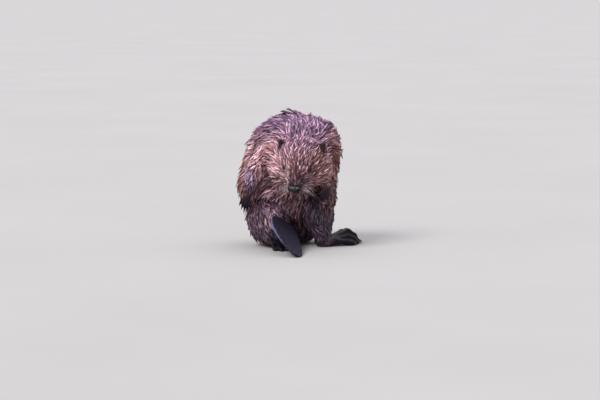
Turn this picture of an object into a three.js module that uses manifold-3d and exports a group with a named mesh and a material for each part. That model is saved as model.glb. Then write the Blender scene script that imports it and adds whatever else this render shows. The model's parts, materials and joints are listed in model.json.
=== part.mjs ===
// A European beaver, life size, sitting up on its rump with its head bent down to its belly,
// one forepaw combing its flank, the other at its cheek, and its tail laid forward between its feet.
//
// Millimetres. +Z is up and the floor is Z = 0, +X is the beaver's left, -Y is the way it faces.
// The origin is the middle of the flat that it sits on.
//
// The body is one smooth form, blended from ellipsoids and tapered limbs and parted by thin cuts:
// each point of it belongs to the sub-part whose own forms it lies deepest in.
// Hands, feet, tail blade, ears, eyes and nose are made piece by piece and joined.

import * as THREE from "three";
import { mergeVertices } from "three/addons/utils/BufferGeometryUtils.js";
import Module from "manifold-3d";

const wasm = await Module();
wasm.setup();

// ---------------------------------------------------------------- driving dimensions

const SEAM = 1.5; // width of the cuts that part the body
const CLEARANCE = 0.5; // room left round a piece that sits in a pocket of another
const BODY_BLEND = 17; // softness of the joins inside the trunk
const HEAD_BLEND = 9; // softness of the joins inside the head
const LIMB_BLEND = 9; // softness of the joins inside a limb
const CREASE_BLEND = 5; // softness where sub-parts meet

// Facet sizes along each axis, as [up to here, step]: finest round the head and arms.
const FACETS_X = [[-56, 23], [128, 17.5], [190, 23]];
const FACETS_Y = [[-62, 17], [200, 34]];
const FACETS_Z = [[160, 23], [330, 17.5], [440, 26]];
const FACETS_FROM = [-185, -215, -70];

const HEAD_YAW = THREE.MathUtils.degToRad(16); // the face turns to the beaver's right,
const HEAD_PITCH = THREE.MathUtils.degToRad(50); // down,
const HEAD_ROLL = THREE.MathUtils.degToRad(3.5); // and its crown leans to the left
const EYE_SPACING = 74;
const EYE_RADIUS = 6.2;
const EAR_SPACING = 133;
const EAR_HEIGHT = 30;
const EAR_DEPTH = 25;
const EAR_THICKNESS = 10;
const EAR_TURN = THREE.MathUtils.degToRad(7); // both swung a little to the beaver's right
const NOSE_WIDTH = 40;
const NOSE_HEIGHT = 22;

const PALM_LENGTH = 34;
const PALM_WIDTH = 28;
const PALM_THICKNESS = 19;
const FINGER_LENGTH = 27;
const FINGER_RADIUS = 4;
const FINGER_SPLAY = 5.5; // how far the outer fingertips spread
const HAND_CLAW_LENGTH = 11;

const FOOT_LENGTH = 158; // heel to toe tip
const FOOT_WIDTH = 84; // across the spread toes
const TOE_RADIUS = 8;
const FOOT_CLAW_LENGTH = 15;
const WEB_THICKNESS = 4;

const TAIL_LENGTH = 252; // the scaled blade
const TAIL_WIDTH = 100;
const TAIL_THICKNESS = 21; // along its middle, at the root
const TAIL_RIM = 3.2; // at its edge
const TAIL_BOW = 10; // how far its middle bends towards the raised edge

const at = (x, y, z) => new THREE.Vector3(x, y, z);

// The forms below are placed from a point between the heels. The middle of the seat lies here,
// and the finished animal is moved so that it becomes the origin.
const SEAT = at(4, 54, 0);

// ---------------------------------------------------------------- materials

function finish(colour, roughness, metalness = 0) {
  return new THREE.MeshStandardMaterial({ color: colour, roughness, metalness });
}

const coatTop = () => finish(0x8a6a5c, 0.85);
const coatHead = () => finish(0x7d5c48, 0.85);
const coatLeg = () => finish(0x4c3a36, 0.8);
const bareSkin = () => finish(0x3a2d33, 0.5);
const tailScales = () => finish(0x37343c, 0.45);
const earSkin = () => finish(0x2c2326, 0.6);
const eyeGloss = () => finish(0x0c0a0b, 0.08);
const noseSkin = () => finish(0x1d191c, 0.25);

// ---------------------------------------------------------------- distance forms
// A form is a function of a point: below 0 inside, 0 on the surface, above 0 outside.
// Its box holds all of it.

function ellipsoid(centre, radii, turn = new THREE.Quaternion()) {
  const back = turn.clone().invert();
  const local = new THREE.Vector3();
  const form = (point) => {
    local.copy(point).sub(centre).applyQuaternion(back).divide(radii);
    const scaled = local.length();
    const steepness = local.divide(radii).length();
    return steepness > 0 ? (scaled * (scaled - 1)) / steepness : -radii.x;
  };
  const reach = Math.max(radii.x, radii.y, radii.z);
  form.box = new THREE.Box3().setFromPoints([centre]).expandByScalar(reach);
  return form;
}

function limb(from, to, fromRadius, toRadius) {
  const axis = to.clone().sub(from);
  const local = new THREE.Vector3();
  const form = (point) => {
    local.copy(point).sub(from);
    const along = THREE.MathUtils.clamp(local.dot(axis) / axis.lengthSq(), 0, 1);
    const radius = fromRadius + (toRadius - fromRadius) * along;
    return local.addScaledVector(axis, -along).length() - radius;
  };
  form.box = new THREE.Box3().setFromPoints([from, to]);
  form.box.expandByScalar(Math.max(fromRadius, toRadius));
  return form;
}

function blend(softness, ...forms) {
  const form = (point) => {
    let sum = 0;
    for (const each of forms) sum += Math.exp(-each(point) / softness);
    return -softness * Math.log(sum);
  };
  form.box = forms.reduce((box, each) => box.union(each.box), new THREE.Box3());
  form.box.expandByScalar(softness);
  return form;
}

// ---------------------------------------------------------------- the head's own frame

const turned = (axis, angle) => new THREE.Quaternion().setFromAxisAngle(axis, angle);
const headFrame = turned(at(0, 1, 0), HEAD_ROLL)
  .multiply(turned(at(0, 0, 1), -HEAD_YAW))
  .multiply(turned(at(1, 0, 0), HEAD_PITCH));
const HEAD_CENTRE = at(36, -118, 264);

// A point given along the head: to the beaver's left, forward to the nose, and up through the crown.
function inHead(left, forward, up) {
  return at(left, -forward, up).applyQuaternion(headFrame).add(HEAD_CENTRE);
}

// ---------------------------------------------------------------- the body's forms

const bodyForms = {
  trunk: blend(
    BODY_BLEND,
    ellipsoid(at(4, 54, 100), at(112, 100, 118)), // rump
    ellipsoid(at(-11, 14, 178), at(150, 108, 118)), // belly and flanks
    ellipsoid(at(12, 26, 266), at(138, 104, 140)), // back
    ellipsoid(at(90, 4, 303), at(62, 73, 80)), // left shoulder
    ellipsoid(at(-56, 4, 282), at(70, 68, 74)), // right shoulder
  ),
  neck: blend(
    BODY_BLEND,
    limb(at(26, -30, 306), at(36, -92, 270), 76, 67), // nape
    limb(at(16, -70, 215), at(28, -108, 206), 62, 45), // throat
    limb(at(72, -24, 292), at(86, -80, 240), 56, 42), // ruff, from the left shoulder to the cheek
    limb(at(-50, -56, 276), at(-34, -78, 238), 38, 36), // ruff, from the right shoulder to the cheek
  ),
  head: blend(
    HEAD_BLEND,
    ellipsoid(inHead(0, 0, 10), at(67, 62, 50), headFrame), // cranium
    ellipsoid(inHead(0, -24, 18), at(70, 40, 42), headFrame), // back of the head, between the ears
    ellipsoid(inHead(-44, 8, -26), at(44, 52, 42), headFrame), // right cheek
    ellipsoid(inHead(46, 8, -26), at(49, 52, 43), headFrame), // left cheek
    limb(inHead(0, 34, -2), inHead(0, 84, -8), 38, 25), // muzzle
    limb(inHead(0, 30, -36), inHead(0, 78, -32), 26, 15), // lower jaw
  ),
  upper_arm_right: limb(at(-66, -42, 288), at(-102, -76, 238), 42, 33),
  forearm_right: limb(at(-105, -84, 226), at(-124, -88, 170), 31, 14),
  upper_arm_left: limb(at(106, -34, 244), at(110, -68, 138), 42, 30),
  forearm_left: limb(at(110, -80, 144), at(111, -122, 198), 29, 14),
  thigh_right: blend(
    LIMB_BLEND,
    ellipsoid(at(-64, -12, 84), at(70, 94, 86)),
    ellipsoid(at(-64, -62, 88), at(56, 54, 58)), // knee
  ),
  thigh_left: blend(
    LIMB_BLEND,
    ellipsoid(at(84, 0, 92), at(52, 92, 74)),
    ellipsoid(at(80, -58, 118), at(44, 48, 50)), // knee
  ),
  shank_right: limb(at(-58, -84, 50), at(-40, -44, 28), 38, 25),
  shank_left: limb(at(86, -66, 110), at(104, -52, 26), 40, 25),
  tail_root: limb(at(4, 0, 44), at(-24, -76, 76), 40, 27),
};

const wholeBody = blend(CREASE_BLEND, ...Object.values(bodyForms));

// ---------------------------------------------------------------- faceting
// A grid of points is laid through the body. Each point belongs to the sub-part whose forms it
// lies deepest in, or to the air. Each cell between points of different owners gets one vertex,
// and each grid edge between them one four-sided face, which both owners share.

const AIR = "air";
const KEEP_IN = 0.02; // how far, as a share of its cell, a vertex stays inside it

const CORNERS = [0, 1, 2, 3, 4, 5, 6, 7].map((i) => at(i & 1, (i >> 1) & 1, i >> 2));
const EDGES = CORNERS.flatMap((_, i) =>
  [1, 2, 4].filter((step) => !(i & step)).map((step) => [i, i | step]),
);

function slope(wall, point) {
  const reach = 0.5;
  return at(
    wall(at(point.x + reach, point.y, point.z)) - wall(at(point.x - reach, point.y, point.z)),
    wall(at(point.x, point.y + reach, point.z)) - wall(at(point.x, point.y - reach, point.z)),
    wall(at(point.x, point.y, point.z + reach)) - wall(at(point.x, point.y, point.z - reach)),
  ).divideScalar(2 * reach);
}

// Moves a vertex onto every wall that meets in its cell, so that edges stay crisp.
function settle(vertex, walls, cellBox) {
  for (let round = 0; round < 14; round++)
    for (const wall of walls) {
      const direction = slope(wall, vertex);
      const steepness = Math.max(direction.lengthSq(), 0.05);
      vertex.addScaledVector(direction, -wall(vertex) / steepness);
      cellBox.clampPoint(vertex, vertex);
    }
}

function planes(from, stretches) {
  const stops = [from];
  for (const [end, step] of stretches) while (stops.at(-1) < end) stops.push(stops.at(-1) + step);
  return stops;
}

// The wall between two owners: below 0 on the first one's side.
function wallBetween(one, other) {
  if (other === AIR) return wholeBody;
  if (one === AIR) return (point) => -wholeBody(point);
  return (point) => bodyForms[one](point) - bodyForms[other](point);
}

function layGrid() {
  const [xs, ys, zs] = [FACETS_X, FACETS_Y, FACETS_Z].map((facets, i) => planes(FACETS_FROM[i], facets));
  const counts = [xs.length, ys.length, zs.length];
  const index = (i, j, k) => (k * counts[1] + j) * counts[0] + i;
  const place = (i, j, k) => at(xs[i], ys[j], zs[k]);
  return { counts, index, place, owners: new Array(xs.length * ys.length * zs.length) };
}

function forEachCell(counts, margin, visit) {
  for (let k = margin; k < counts[2] - 1; k++)
    for (let j = margin; j < counts[1] - 1; j++)
      for (let i = margin; i < counts[0] - 1; i++) visit(i, j, k);
}

function ownerOf(point) {
  if (wholeBody(point) >= 0) return AIR;
  return Object.keys(bodyForms).reduce((a, b) => (bodyForms[a](point) <= bodyForms[b](point) ? a : b));
}

// Two points of one owner that face each other across a square of the grid, with neither
// neighbour theirs, would leave a pinched edge: the nearer neighbour changes hands.
function unpinch({ counts, index, place, owners }) {
  const squares = [
    [at(1, 0, 0), at(0, 1, 0)],
    [at(0, 1, 0), at(0, 0, 1)],
    [at(0, 0, 1), at(1, 0, 0)],
  ];
  let pinched = 0;
  forEachCell(counts, 0, (i, j, k) => {
    for (const [u, v] of squares) {
      const ring = [at(0, 0, 0), u, u.clone().add(v), v].map((step) => {
        const spot = at(i, j, k).add(step);
        return { id: index(spot.x, spot.y, spot.z), point: place(spot.x, spot.y, spot.z) };
      });
      for (const [a, b, c, d] of [ring, [ring[1], ring[2], ring[3], ring[0]]]) {
        const owner = owners[a.id];
        if (owner !== owners[c.id] || owners[b.id] === owner || owners[d.id] === owner) continue;
        const cost = ({ id, point }) => Math.abs(wallBetween(owner, owners[id])(point));
        owners[cost(b) <= cost(d) ? b.id : d.id] = owner;
        pinched++;
      }
    }
  });
  return pinched;
}

function cellVertex({ index, place, owners }, i, j, k) {
  const corners = CORNERS.map((c) => ({
    owner: owners[index(i + c.x, j + c.y, k + c.z)],
    point: place(i + c.x, j + c.y, k + c.z),
  }));
  const crossed = EDGES.map(([a, b]) => [corners[a], corners[b]]).filter(([a, b]) => a.owner !== b.owner);
  if (!crossed.length) return null;
  const vertex = at(0, 0, 0);
  const walls = new Map();
  for (const [a, b] of crossed) {
    const wall = wallBetween(a.owner, b.owner);
    const [here, there] = [wall(a.point), wall(b.point)];
    const share = here < 0 && there > 0 ? here / (here - there) : 0.5;
    vertex.add(a.point.clone().lerp(b.point, share));
    walls.set(a.owner === AIR || b.owner === AIR ? AIR : [a.owner, b.owner].sort().join(), wall);
  }
  vertex.divideScalar(crossed.length);
  const cellBox = new THREE.Box3(corners[0].point.clone(), corners[7].point.clone());
  const size = cellBox.getSize(at(0, 0, 0));
  settle(vertex, walls.values(), cellBox.expandByVector(size.multiplyScalar(-KEEP_IN)));
  return vertex;
}

// Draws each sub-part's shared faces back by half a seam.
function openSeams(vertices, faces) {
  const inward = vertices.map(() => at(0, 0, 0));
  for (const { corners, neighbour } of faces) {
    if (neighbour === AIR) continue;
    const [a, b, c] = corners.map((id) => vertices[id]);
    const normal = b.clone().sub(a).cross(c.clone().sub(a));
    for (const id of corners) inward[id].sub(normal);
  }
  return vertices.map((vertex, id) =>
    inward[id].lengthSq() > 0 ? vertex.clone().addScaledVector(inward[id].normalize(), SEAM / 2) : vertex,
  );
}

function facetBody() {
  const grid = layGrid();
  const { counts, index, place, owners } = grid;
  for (let k = 0; k < counts[2]; k++)
    for (let j = 0; j < counts[1]; j++)
      for (let i = 0; i < counts[0]; i++) owners[index(i, j, k)] = ownerOf(place(i, j, k));
  for (let round = 0; round < 20 && unpinch(grid) > 0; round++);

  const vertices = [];
  const vertexOf = new Map();
  forEachCell(counts, 0, (i, j, k) => {
    const vertex = cellVertex(grid, i, j, k);
    if (!vertex) return;
    vertexOf.set(index(i, j, k), vertices.length);
    vertices.push(vertex);
  });

  const faces = Object.fromEntries(Object.keys(bodyForms).map((name) => [name, []]));
  const neighbours = [
    [at(1, 0, 0), at(0, 1, 0), at(0, 0, 1)],
    [at(0, 1, 0), at(0, 0, 1), at(1, 0, 0)],
    [at(0, 0, 1), at(1, 0, 0), at(0, 1, 0)],
  ];
  forEachCell(counts, 1, (i, j, k) => {
    for (const [along, side, other] of neighbours) {
      const here = owners[index(i, j, k)];
      const there = owners[index(i + along.x, j + along.y, k + along.z)];
      if (here === there) continue;
      const cellAt = (s, o) =>
        vertexOf.get(
          index(i - s * side.x - o * other.x, j - s * side.y - o * other.y, k - s * side.z - o * other.z),
        );
      const [a, b, c, d] = [cellAt(1, 1), cellAt(0, 1), cellAt(0, 0), cellAt(1, 0)];
      for (const corners of [[a, b, c], [a, c, d]]) {
        faces[here]?.push({ corners, neighbour: there });
        faces[there]?.push({ corners: corners.toReversed(), neighbour: here });
      }
    }
  });

  return Object.fromEntries(
    Object.entries(faces).map(([name, own]) => {
      const positions = openSeams(vertices, own).flatMap((vertex) => [...vertex]);
      const geometry = new THREE.BufferGeometry();
      geometry.setAttribute("position", new THREE.Float32BufferAttribute(positions, 3));
      geometry.setIndex(own.flatMap(({ corners }) => corners));
      return [name, largestBody(solidOf(geometry))];
    }),
  );
}

// ---------------------------------------------------------------- joining and cutting

function solidOf(geometry) {
  const bare = geometry.clone();
  bare.deleteAttribute("normal");
  bare.deleteAttribute("uv");
  const merged = mergeVertices(bare, 1e-3);
  return new wasm.Manifold(
    new wasm.Mesh({
      numProp: 3,
      vertProperties: new Float32Array(merged.attributes.position.array),
      triVerts: new Uint32Array(merged.index.array),
    }),
  );
}

function geometryOf(solid) {
  const mesh = solid.getMesh();
  const geometry = new THREE.BufferGeometry();
  geometry.setAttribute("position", new THREE.BufferAttribute(mesh.vertProperties, 3));
  geometry.setIndex(new THREE.BufferAttribute(mesh.triVerts, 1));
  return geometry;
}

const join = (solids) => solids.reduce((all, solid) => all.add(solid));

function largestBody(solid) {
  return solid.decompose().reduce((a, b) => (a.volume() >= b.volume() ? a : b));
}

function floorBlock() {
  const block = new THREE.BoxGeometry(2000, 2000, 200);
  block.translate(0, 0, -100);
  return solidOf(block);
}

// ---------------------------------------------------------------- lofts

// A closed tube through the rings, each ring an ellipse about its centre.
function loft(rings, sides) {
  const positions = [];
  const triangles = [];
  for (const { centre, across, over } of rings)
    for (let s = 0; s < sides; s++) {
      const angle = (2 * Math.PI * s) / sides;
      const point = centre.clone();
      point.addScaledVector(across, Math.cos(angle)).addScaledVector(over, Math.sin(angle));
      positions.push(...point);
    }
  for (let r = 0; r < rings.length - 1; r++)
    for (let s = 0; s < sides; s++) {
      const next = (s + 1) % sides;
      const [a, b, c, d] = [r * sides + s, r * sides + next, (r + 1) * sides + next, (r + 1) * sides + s];
      triangles.push(a, c, b, a, d, c);
    }
  const lastRing = (rings.length - 1) * sides;
  for (let s = 1; s < sides - 1; s++) {
    triangles.push(0, s, s + 1);
    triangles.push(lastRing, lastRing + s + 1, lastRing + s);
  }
  const geometry = new THREE.BufferGeometry();
  geometry.setAttribute("position", new THREE.Float32BufferAttribute(positions, 3));
  geometry.setIndex(triangles);
  const solid = solidOf(geometry);
  if (solid.volume() > 0) return solid;
  for (let t = 0; t < triangles.length; t += 3)
    [triangles[t], triangles[t + 1]] = [triangles[t + 1], triangles[t]];
  geometry.setIndex(triangles);
  return solidOf(geometry);
}

// A round bent rod whose radius changes along it. up is the direction that no stretch runs along.
function rod(points, radii, sides, up) {
  const rings = points.map((centre, i) => {
    const before = points[Math.max(i - 1, 0)];
    const after = points[Math.min(i + 1, points.length - 1)];
    const along = after.clone().sub(before).normalize();
    const across = up.clone().cross(along).normalize();
    const over = along.clone().cross(across);
    return { centre, across: across.multiplyScalar(radii[i]), over: over.multiplyScalar(radii[i]) };
  });
  return loft(rings, sides);
}

// A flat plate between four corners.
function plate(corners, thickness, up) {
  const half = up.clone().multiplyScalar(thickness / 2);
  const middle = (a, b) => a.clone().add(b).multiplyScalar(0.5);
  const ring = (a, b) => ({
    centre: middle(a, b),
    across: b.clone().sub(a).multiplyScalar(0.5),
    over: half.clone(),
  });
  const [a, b, c, d] = corners;
  return loft([ring(a, b), ring(d, c)], 4);
}

// ---------------------------------------------------------------- face pieces

function eye(side, grow) {
  const ball = new THREE.SphereGeometry(EYE_RADIUS + grow, 10, 6);
  const centre = inHead((side * EYE_SPACING) / 2, 48, 26);
  ball.translate(centre.x, centre.y, centre.z);
  return solidOf(ball);
}

// A low rounded shell, cupped on its outer side.
function ear(side, grow) {
  const shell = (thickness, depth, height, out) => {
    const dome = new THREE.SphereGeometry(1, 10, 6);
    dome.scale(thickness / 2 + grow, depth / 2 + grow, height / 2 + grow);
    dome.translate(side * out, 0, 0);
    return dome;
  };
  const set = (geometry) => {
    geometry.rotateZ(EAR_TURN);
    geometry.applyQuaternion(headFrame);
    const centre = inHead((side * EAR_SPACING) / 2, -28, 40);
    return geometry.translate(centre.x, centre.y, centre.z);
  };
  const outer = solidOf(set(shell(EAR_THICKNESS, EAR_DEPTH, EAR_HEIGHT, 0)));
  if (grow > 0) return outer;
  const hollow = shell(EAR_THICKNESS, EAR_DEPTH * 0.72, EAR_HEIGHT * 0.76, EAR_THICKNESS * 0.45);
  return outer.subtract(solidOf(set(hollow)));
}

// A broad pad with a wing round each nostril.
function nosePad(grow) {
  const lump = (left, forward, up, width, depth, height) => {
    const dome = new THREE.SphereGeometry(1, 9, 5);
    dome.scale(width / 2 + grow, depth / 2 + grow, height / 2 + grow);
    dome.applyQuaternion(headFrame);
    const centre = inHead(left, forward, up);
    return solidOf(dome.translate(centre.x, centre.y, centre.z));
  };
  const wing = (side) => lump(side * NOSE_WIDTH * 0.36, 100, 0, 14, 17, 17);
  return join([lump(0, 103, -1, NOSE_WIDTH * 0.78, 22, NOSE_HEIGHT), wing(-1), wing(1)]);
}

// ---------------------------------------------------------------- hands

// The hand leaves the wrist along `along`, with the back of the hand to `back`.
function hand({ wrist, along, back, wristRadius, curl, thumbSide }, grow) {
  const forward = along.clone().normalize();
  const dorsal = back.clone().addScaledVector(forward, -back.dot(forward)).normalize();
  const across = forward.clone().cross(dorsal).multiplyScalar(thumbSide);
  const spot = (reach, side, lift) =>
    wrist.clone().addScaledVector(forward, reach).addScaledVector(across, side).addScaledVector(dorsal, lift);
  const ring = (reach, width, thickness, lift) => ({
    centre: spot(reach, 0, lift),
    across: across.clone().multiplyScalar(width / 2 + grow),
    over: dorsal.clone().multiplyScalar(thickness / 2 + grow),
  });
  const palm = loft(
    [
      ring(SEAM - grow, 2 * wristRadius - 2, 2 * wristRadius - 3, 0),
      ring(PALM_LENGTH * 0.35, PALM_WIDTH * 0.92, PALM_THICKNESS * 1.2, 0),
      ring(PALM_LENGTH * 0.8, PALM_WIDTH, PALM_THICKNESS, 0),
      ring(PALM_LENGTH * 1.1, PALM_WIDTH * 0.8, PALM_THICKNESS * 0.6, -1),
    ],
    8,
  );
  const pieces = [palm];
  for (let finger = 0; finger < 5; finger++) {
    const spread = (finger - 2) / 2; // -1 at the first finger, 1 at the fifth
    const long = FINGER_LENGTH * (1 - 0.22 * spread * spread);
    const root = spot(PALM_LENGTH * (0.92 - 0.16 * spread * spread), spread * PALM_WIDTH * 0.4, 0);
    const joint = (share) =>
      root
        .clone()
        .addScaledVector(forward, long * share * Math.cos(curl * share))
        .addScaledVector(dorsal, -long * share * Math.sin(curl * share))
        .addScaledVector(across, spread * FINGER_SPLAY * share);
    const thick = FINGER_RADIUS + grow;
    const claw = HAND_CLAW_LENGTH / long;
    pieces.push(
      rod(
        [joint(0), joint(0.55), joint(1), joint(1 + claw)],
        [thick, thick * 0.95, thick * 0.7, 0.6 + grow],
        5,
        across,
      ),
    );
  }
  return join(pieces);
}

const HANDS = {
  right: {
    wrist: at(-124, -88, 170),
    along: at(-0.28, 0.12, -1),
    back: at(-0.35, -1, -0.1),
    wristRadius: 14,
    curl: 0.3,
    thumbSide: 1,
  },
  left: {
    wrist: at(111, -122, 198),
    along: at(-0.14, -0.5, -0.75),
    back: at(0.6, -0.9, 0.2),
    wristRadius: 14,
    curl: 0.85,
    thumbSide: -1,
  },
};

// ---------------------------------------------------------------- feet

// The sole lies on the floor. heading is the way the toes point, knuckle the height of the arch,
// and arch says how much of it each toe takes, from the inner toe to the outer.
function foot({ heel, heading, innerSide, ankleHeight, knuckle, arch }, grow) {
  const forward = at(Math.cos(heading), Math.sin(heading), 0);
  const inner = at(-Math.sin(heading), Math.cos(heading), 0).multiplyScalar(innerSide);
  const up = at(0, 0, 1);
  const spot = (reach, side, height) =>
    heel.clone().addScaledVector(forward, reach).addScaledVector(inner, side).addScaledVector(up, height);
  const ring = (reach, width, bottom, top) => ({
    centre: spot(reach, 0, (bottom + top) / 2),
    across: inner.clone().multiplyScalar(width / 2 + grow),
    over: up.clone().multiplyScalar((top - bottom) / 2 + grow),
  });
  const sole = loft(
    [
      ring(-6 - grow, 20, 2, 24),
      ring(10, 38, -3, ankleHeight),
      ring(34, 42, -3, ankleHeight * 0.9),
      ring(60, 50, -2, 27),
      ring(84, 54, 0, 20),
    ],
    8,
  );
  const pieces = [sole];
  const lines = [];
  for (let toe = 0; toe < 5; toe++) {
    const spread = (2 - toe) / 2; // 1 at the inner toe, -1 at the outer
    const long = FOOT_LENGTH * [0.72, 0.88, 0.98, 1, 0.9][toe] - FOOT_CLAW_LENGTH * 0.6;
    const high = knuckle * arch[toe];
    const fan = (share) => spread * (FOOT_WIDTH / 2 - TOE_RADIUS) * (0.55 + 0.45 * share);
    const line = [
      spot(56, fan(0), 12 + high * 0.35),
      spot(56 + (long - 56) * 0.58, fan(0.5), TOE_RADIUS * 0.9 + high),
      spot(56 + (long - 56) * 0.82, fan(0.8), TOE_RADIUS * 0.8 + high * 0.6),
      spot(long, fan(1), TOE_RADIUS * 0.66),
    ];
    const clawTip = spot(long + FOOT_CLAW_LENGTH, fan(1.05), 1.8);
    const radii = [1, 0.98, 0.9, 0.6].map((share) => (TOE_RADIUS + grow) * share);
    pieces.push(rod([...line, clawTip], [...radii, 0.8 + grow], 5, inner));
    lines.push(line);
  }
  for (let toe = 0; toe < 4; toe++) {
    const [a, b] = [lines[toe], lines[toe + 1]];
    pieces.push(plate([a[0], b[0], b[2], a[2]], WEB_THICKNESS + 2 * grow, up));
  }
  return join(pieces).subtract(floorBlock());
}

const FEET = {
  right: {
    heel: at(-36, -14, 0),
    heading: THREE.MathUtils.degToRad(-80),
    innerSide: 1,
    ankleHeight: 34,
    knuckle: 7,
    arch: [0.6, 0.9, 1, 1, 0.8],
  },
  left: {
    heel: at(86, -52, 0),
    heading: THREE.MathUtils.degToRad(33),
    innerSide: -1,
    ankleHeight: 36,
    knuckle: 33,
    arch: [0.1, 0.55, 1, 1, 0.9],
  },
};

// ---------------------------------------------------------------- tail

const TAIL_CENTRE = at(-2, -187, 46);
const TAIL_AXIS = at(0.17, -0.872, -0.307).normalize(); // towards the tip
const TAIL_ACROSS = at(0.85, 0.546, -0.498).normalize(); // towards the edge that is on the floor

// Half width at a share of the length, from a narrow root to a rounded tip.
function tailHalfWidth(share) {
  const swell = Math.pow(Math.sin(Math.PI * Math.pow(share, 0.855)), 0.4);
  const root = 23 * Math.pow(1 - share, 2);
  return Math.max((TAIL_WIDTH / 2) * swell, root);
}

function tailBlade(grow) {
  const across = TAIL_ACROSS.clone().addScaledVector(TAIL_AXIS, -TAIL_ACROSS.dot(TAIL_AXIS)).normalize();
  const over = TAIL_AXIS.clone().cross(across);
  const steps = 14;
  const sides = 12;
  const positions = [];
  const triangles = [];
  for (let step = 0; step <= steps; step++) {
    const share = 0.5 - 0.5 * Math.cos((Math.PI * (step + 0.35)) / (steps + 0.7));
    const half = tailHalfWidth(share) + grow;
    const thick = (TAIL_THICKNESS * (1 - 0.62 * share)) / 2 + grow;
    const reach = (share - 0.5) * (TAIL_LENGTH + 2 * grow);
    const bend = -TAIL_BOW * (1 - Math.pow(2 * share - 1, 2));
    const centre = TAIL_CENTRE.clone().addScaledVector(TAIL_AXIS, reach).addScaledVector(across, bend);
    for (let s = 0; s < sides; s++) {
      const angle = (2 * Math.PI * s) / sides;
      const side = Math.cos(angle);
      const rim = TAIL_RIM / 2 + grow;
      const lens = Math.sin(angle) * (rim + (thick - rim) * Math.pow(1 - side * side, 0.35));
      const room = Math.min(1, half / 12);
      const point = centre.clone().addScaledVector(across, half * side).addScaledVector(over, lens * room);
      positions.push(...point);
    }
  }
  for (let step = 0; step < steps; step++)
    for (let s = 0; s < sides; s++) {
      const next = (s + 1) % sides;
      const a = step * sides + s;
      const b = step * sides + next;
      triangles.push(a, b, b + sides, a, b + sides, a + sides);
    }
  const last = steps * sides;
  for (let s = 1; s < sides - 1; s++) {
    triangles.push(0, s + 1, s);
    triangles.push(last, last + s, last + s + 1);
  }
  const geometry = new THREE.BufferGeometry();
  geometry.setAttribute("position", new THREE.Float32BufferAttribute(positions, 3));
  geometry.setIndex(triangles);
  return solidOf(geometry).subtract(floorBlock());
}

// ---------------------------------------------------------------- placing

const SIDES = { right: -1, left: 1 };

// Every piece that is made by itself, larger all round by `grow`.
function separatePieces(grow) {
  const pieces = { nose_pad: nosePad(grow), tail_blade: tailBlade(grow) };
  for (const [name, side] of Object.entries(SIDES)) {
    pieces["eye_" + name] = eye(side, grow);
    pieces["ear_" + name] = ear(side, grow);
    pieces["hand_" + name] = hand(HANDS[name], grow);
    pieces["foot_" + name] = foot(FEET[name], grow);
  }
  return pieces;
}

const model = new THREE.Group();
const animal = new THREE.Group();
animal.position.copy(SEAT).negate();
model.add(animal);

function place(name, solid, material) {
  const mesh = new THREE.Mesh(geometryOf(solid), material);
  mesh.name = name;
  animal.add(mesh);
}

// What the body leaves free: a pocket for each separate piece, and the space under the floor.
const takenAway = join([...Object.values(separatePieces(CLEARANCE)), floorBlock()]);

const coats = {
  trunk: coatTop,
  neck: coatTop,
  head: coatHead,
  upper: coatTop,
  forearm: coatTop,
  thigh: coatLeg,
  shank: coatLeg,
  tail: coatLeg,
};
const placed = [];
for (const [name, share] of Object.entries(facetBody())) {
  const touching = placed.filter((other) => share.intersect(other).volume() > 0);
  const solid = largestBody(share.subtract(join([takenAway, ...touching])));
  placed.push(solid);
  place(name, solid, coats[name.split("_")[0]]());
}

const looks = {
  nose: noseSkin,
  tail: tailScales,
  eye: eyeGloss,
  ear: earSkin,
  hand: bareSkin,
  foot: bareSkin,
};
for (const [name, solid] of Object.entries(separatePieces(0)))
  place(name, solid, looks[name.split("_")[0]]());

export default model;
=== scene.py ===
"""A sitting Eurasian beaver as a museum model: one skin under a coat of modelled tufts, scales on the
tail, and separate eyes, nose, claws and whiskers, on a pale floor.

The forms are given in millimetres, from a point between the heels, as (x, y, z): x to the beaver's
left, y backwards and z up. Everything is made in those units and turned into metres of the frame last.
"""

import json
import math

import bpy
import numpy as np
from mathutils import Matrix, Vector
from mathutils.kdtree import KDTree

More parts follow.
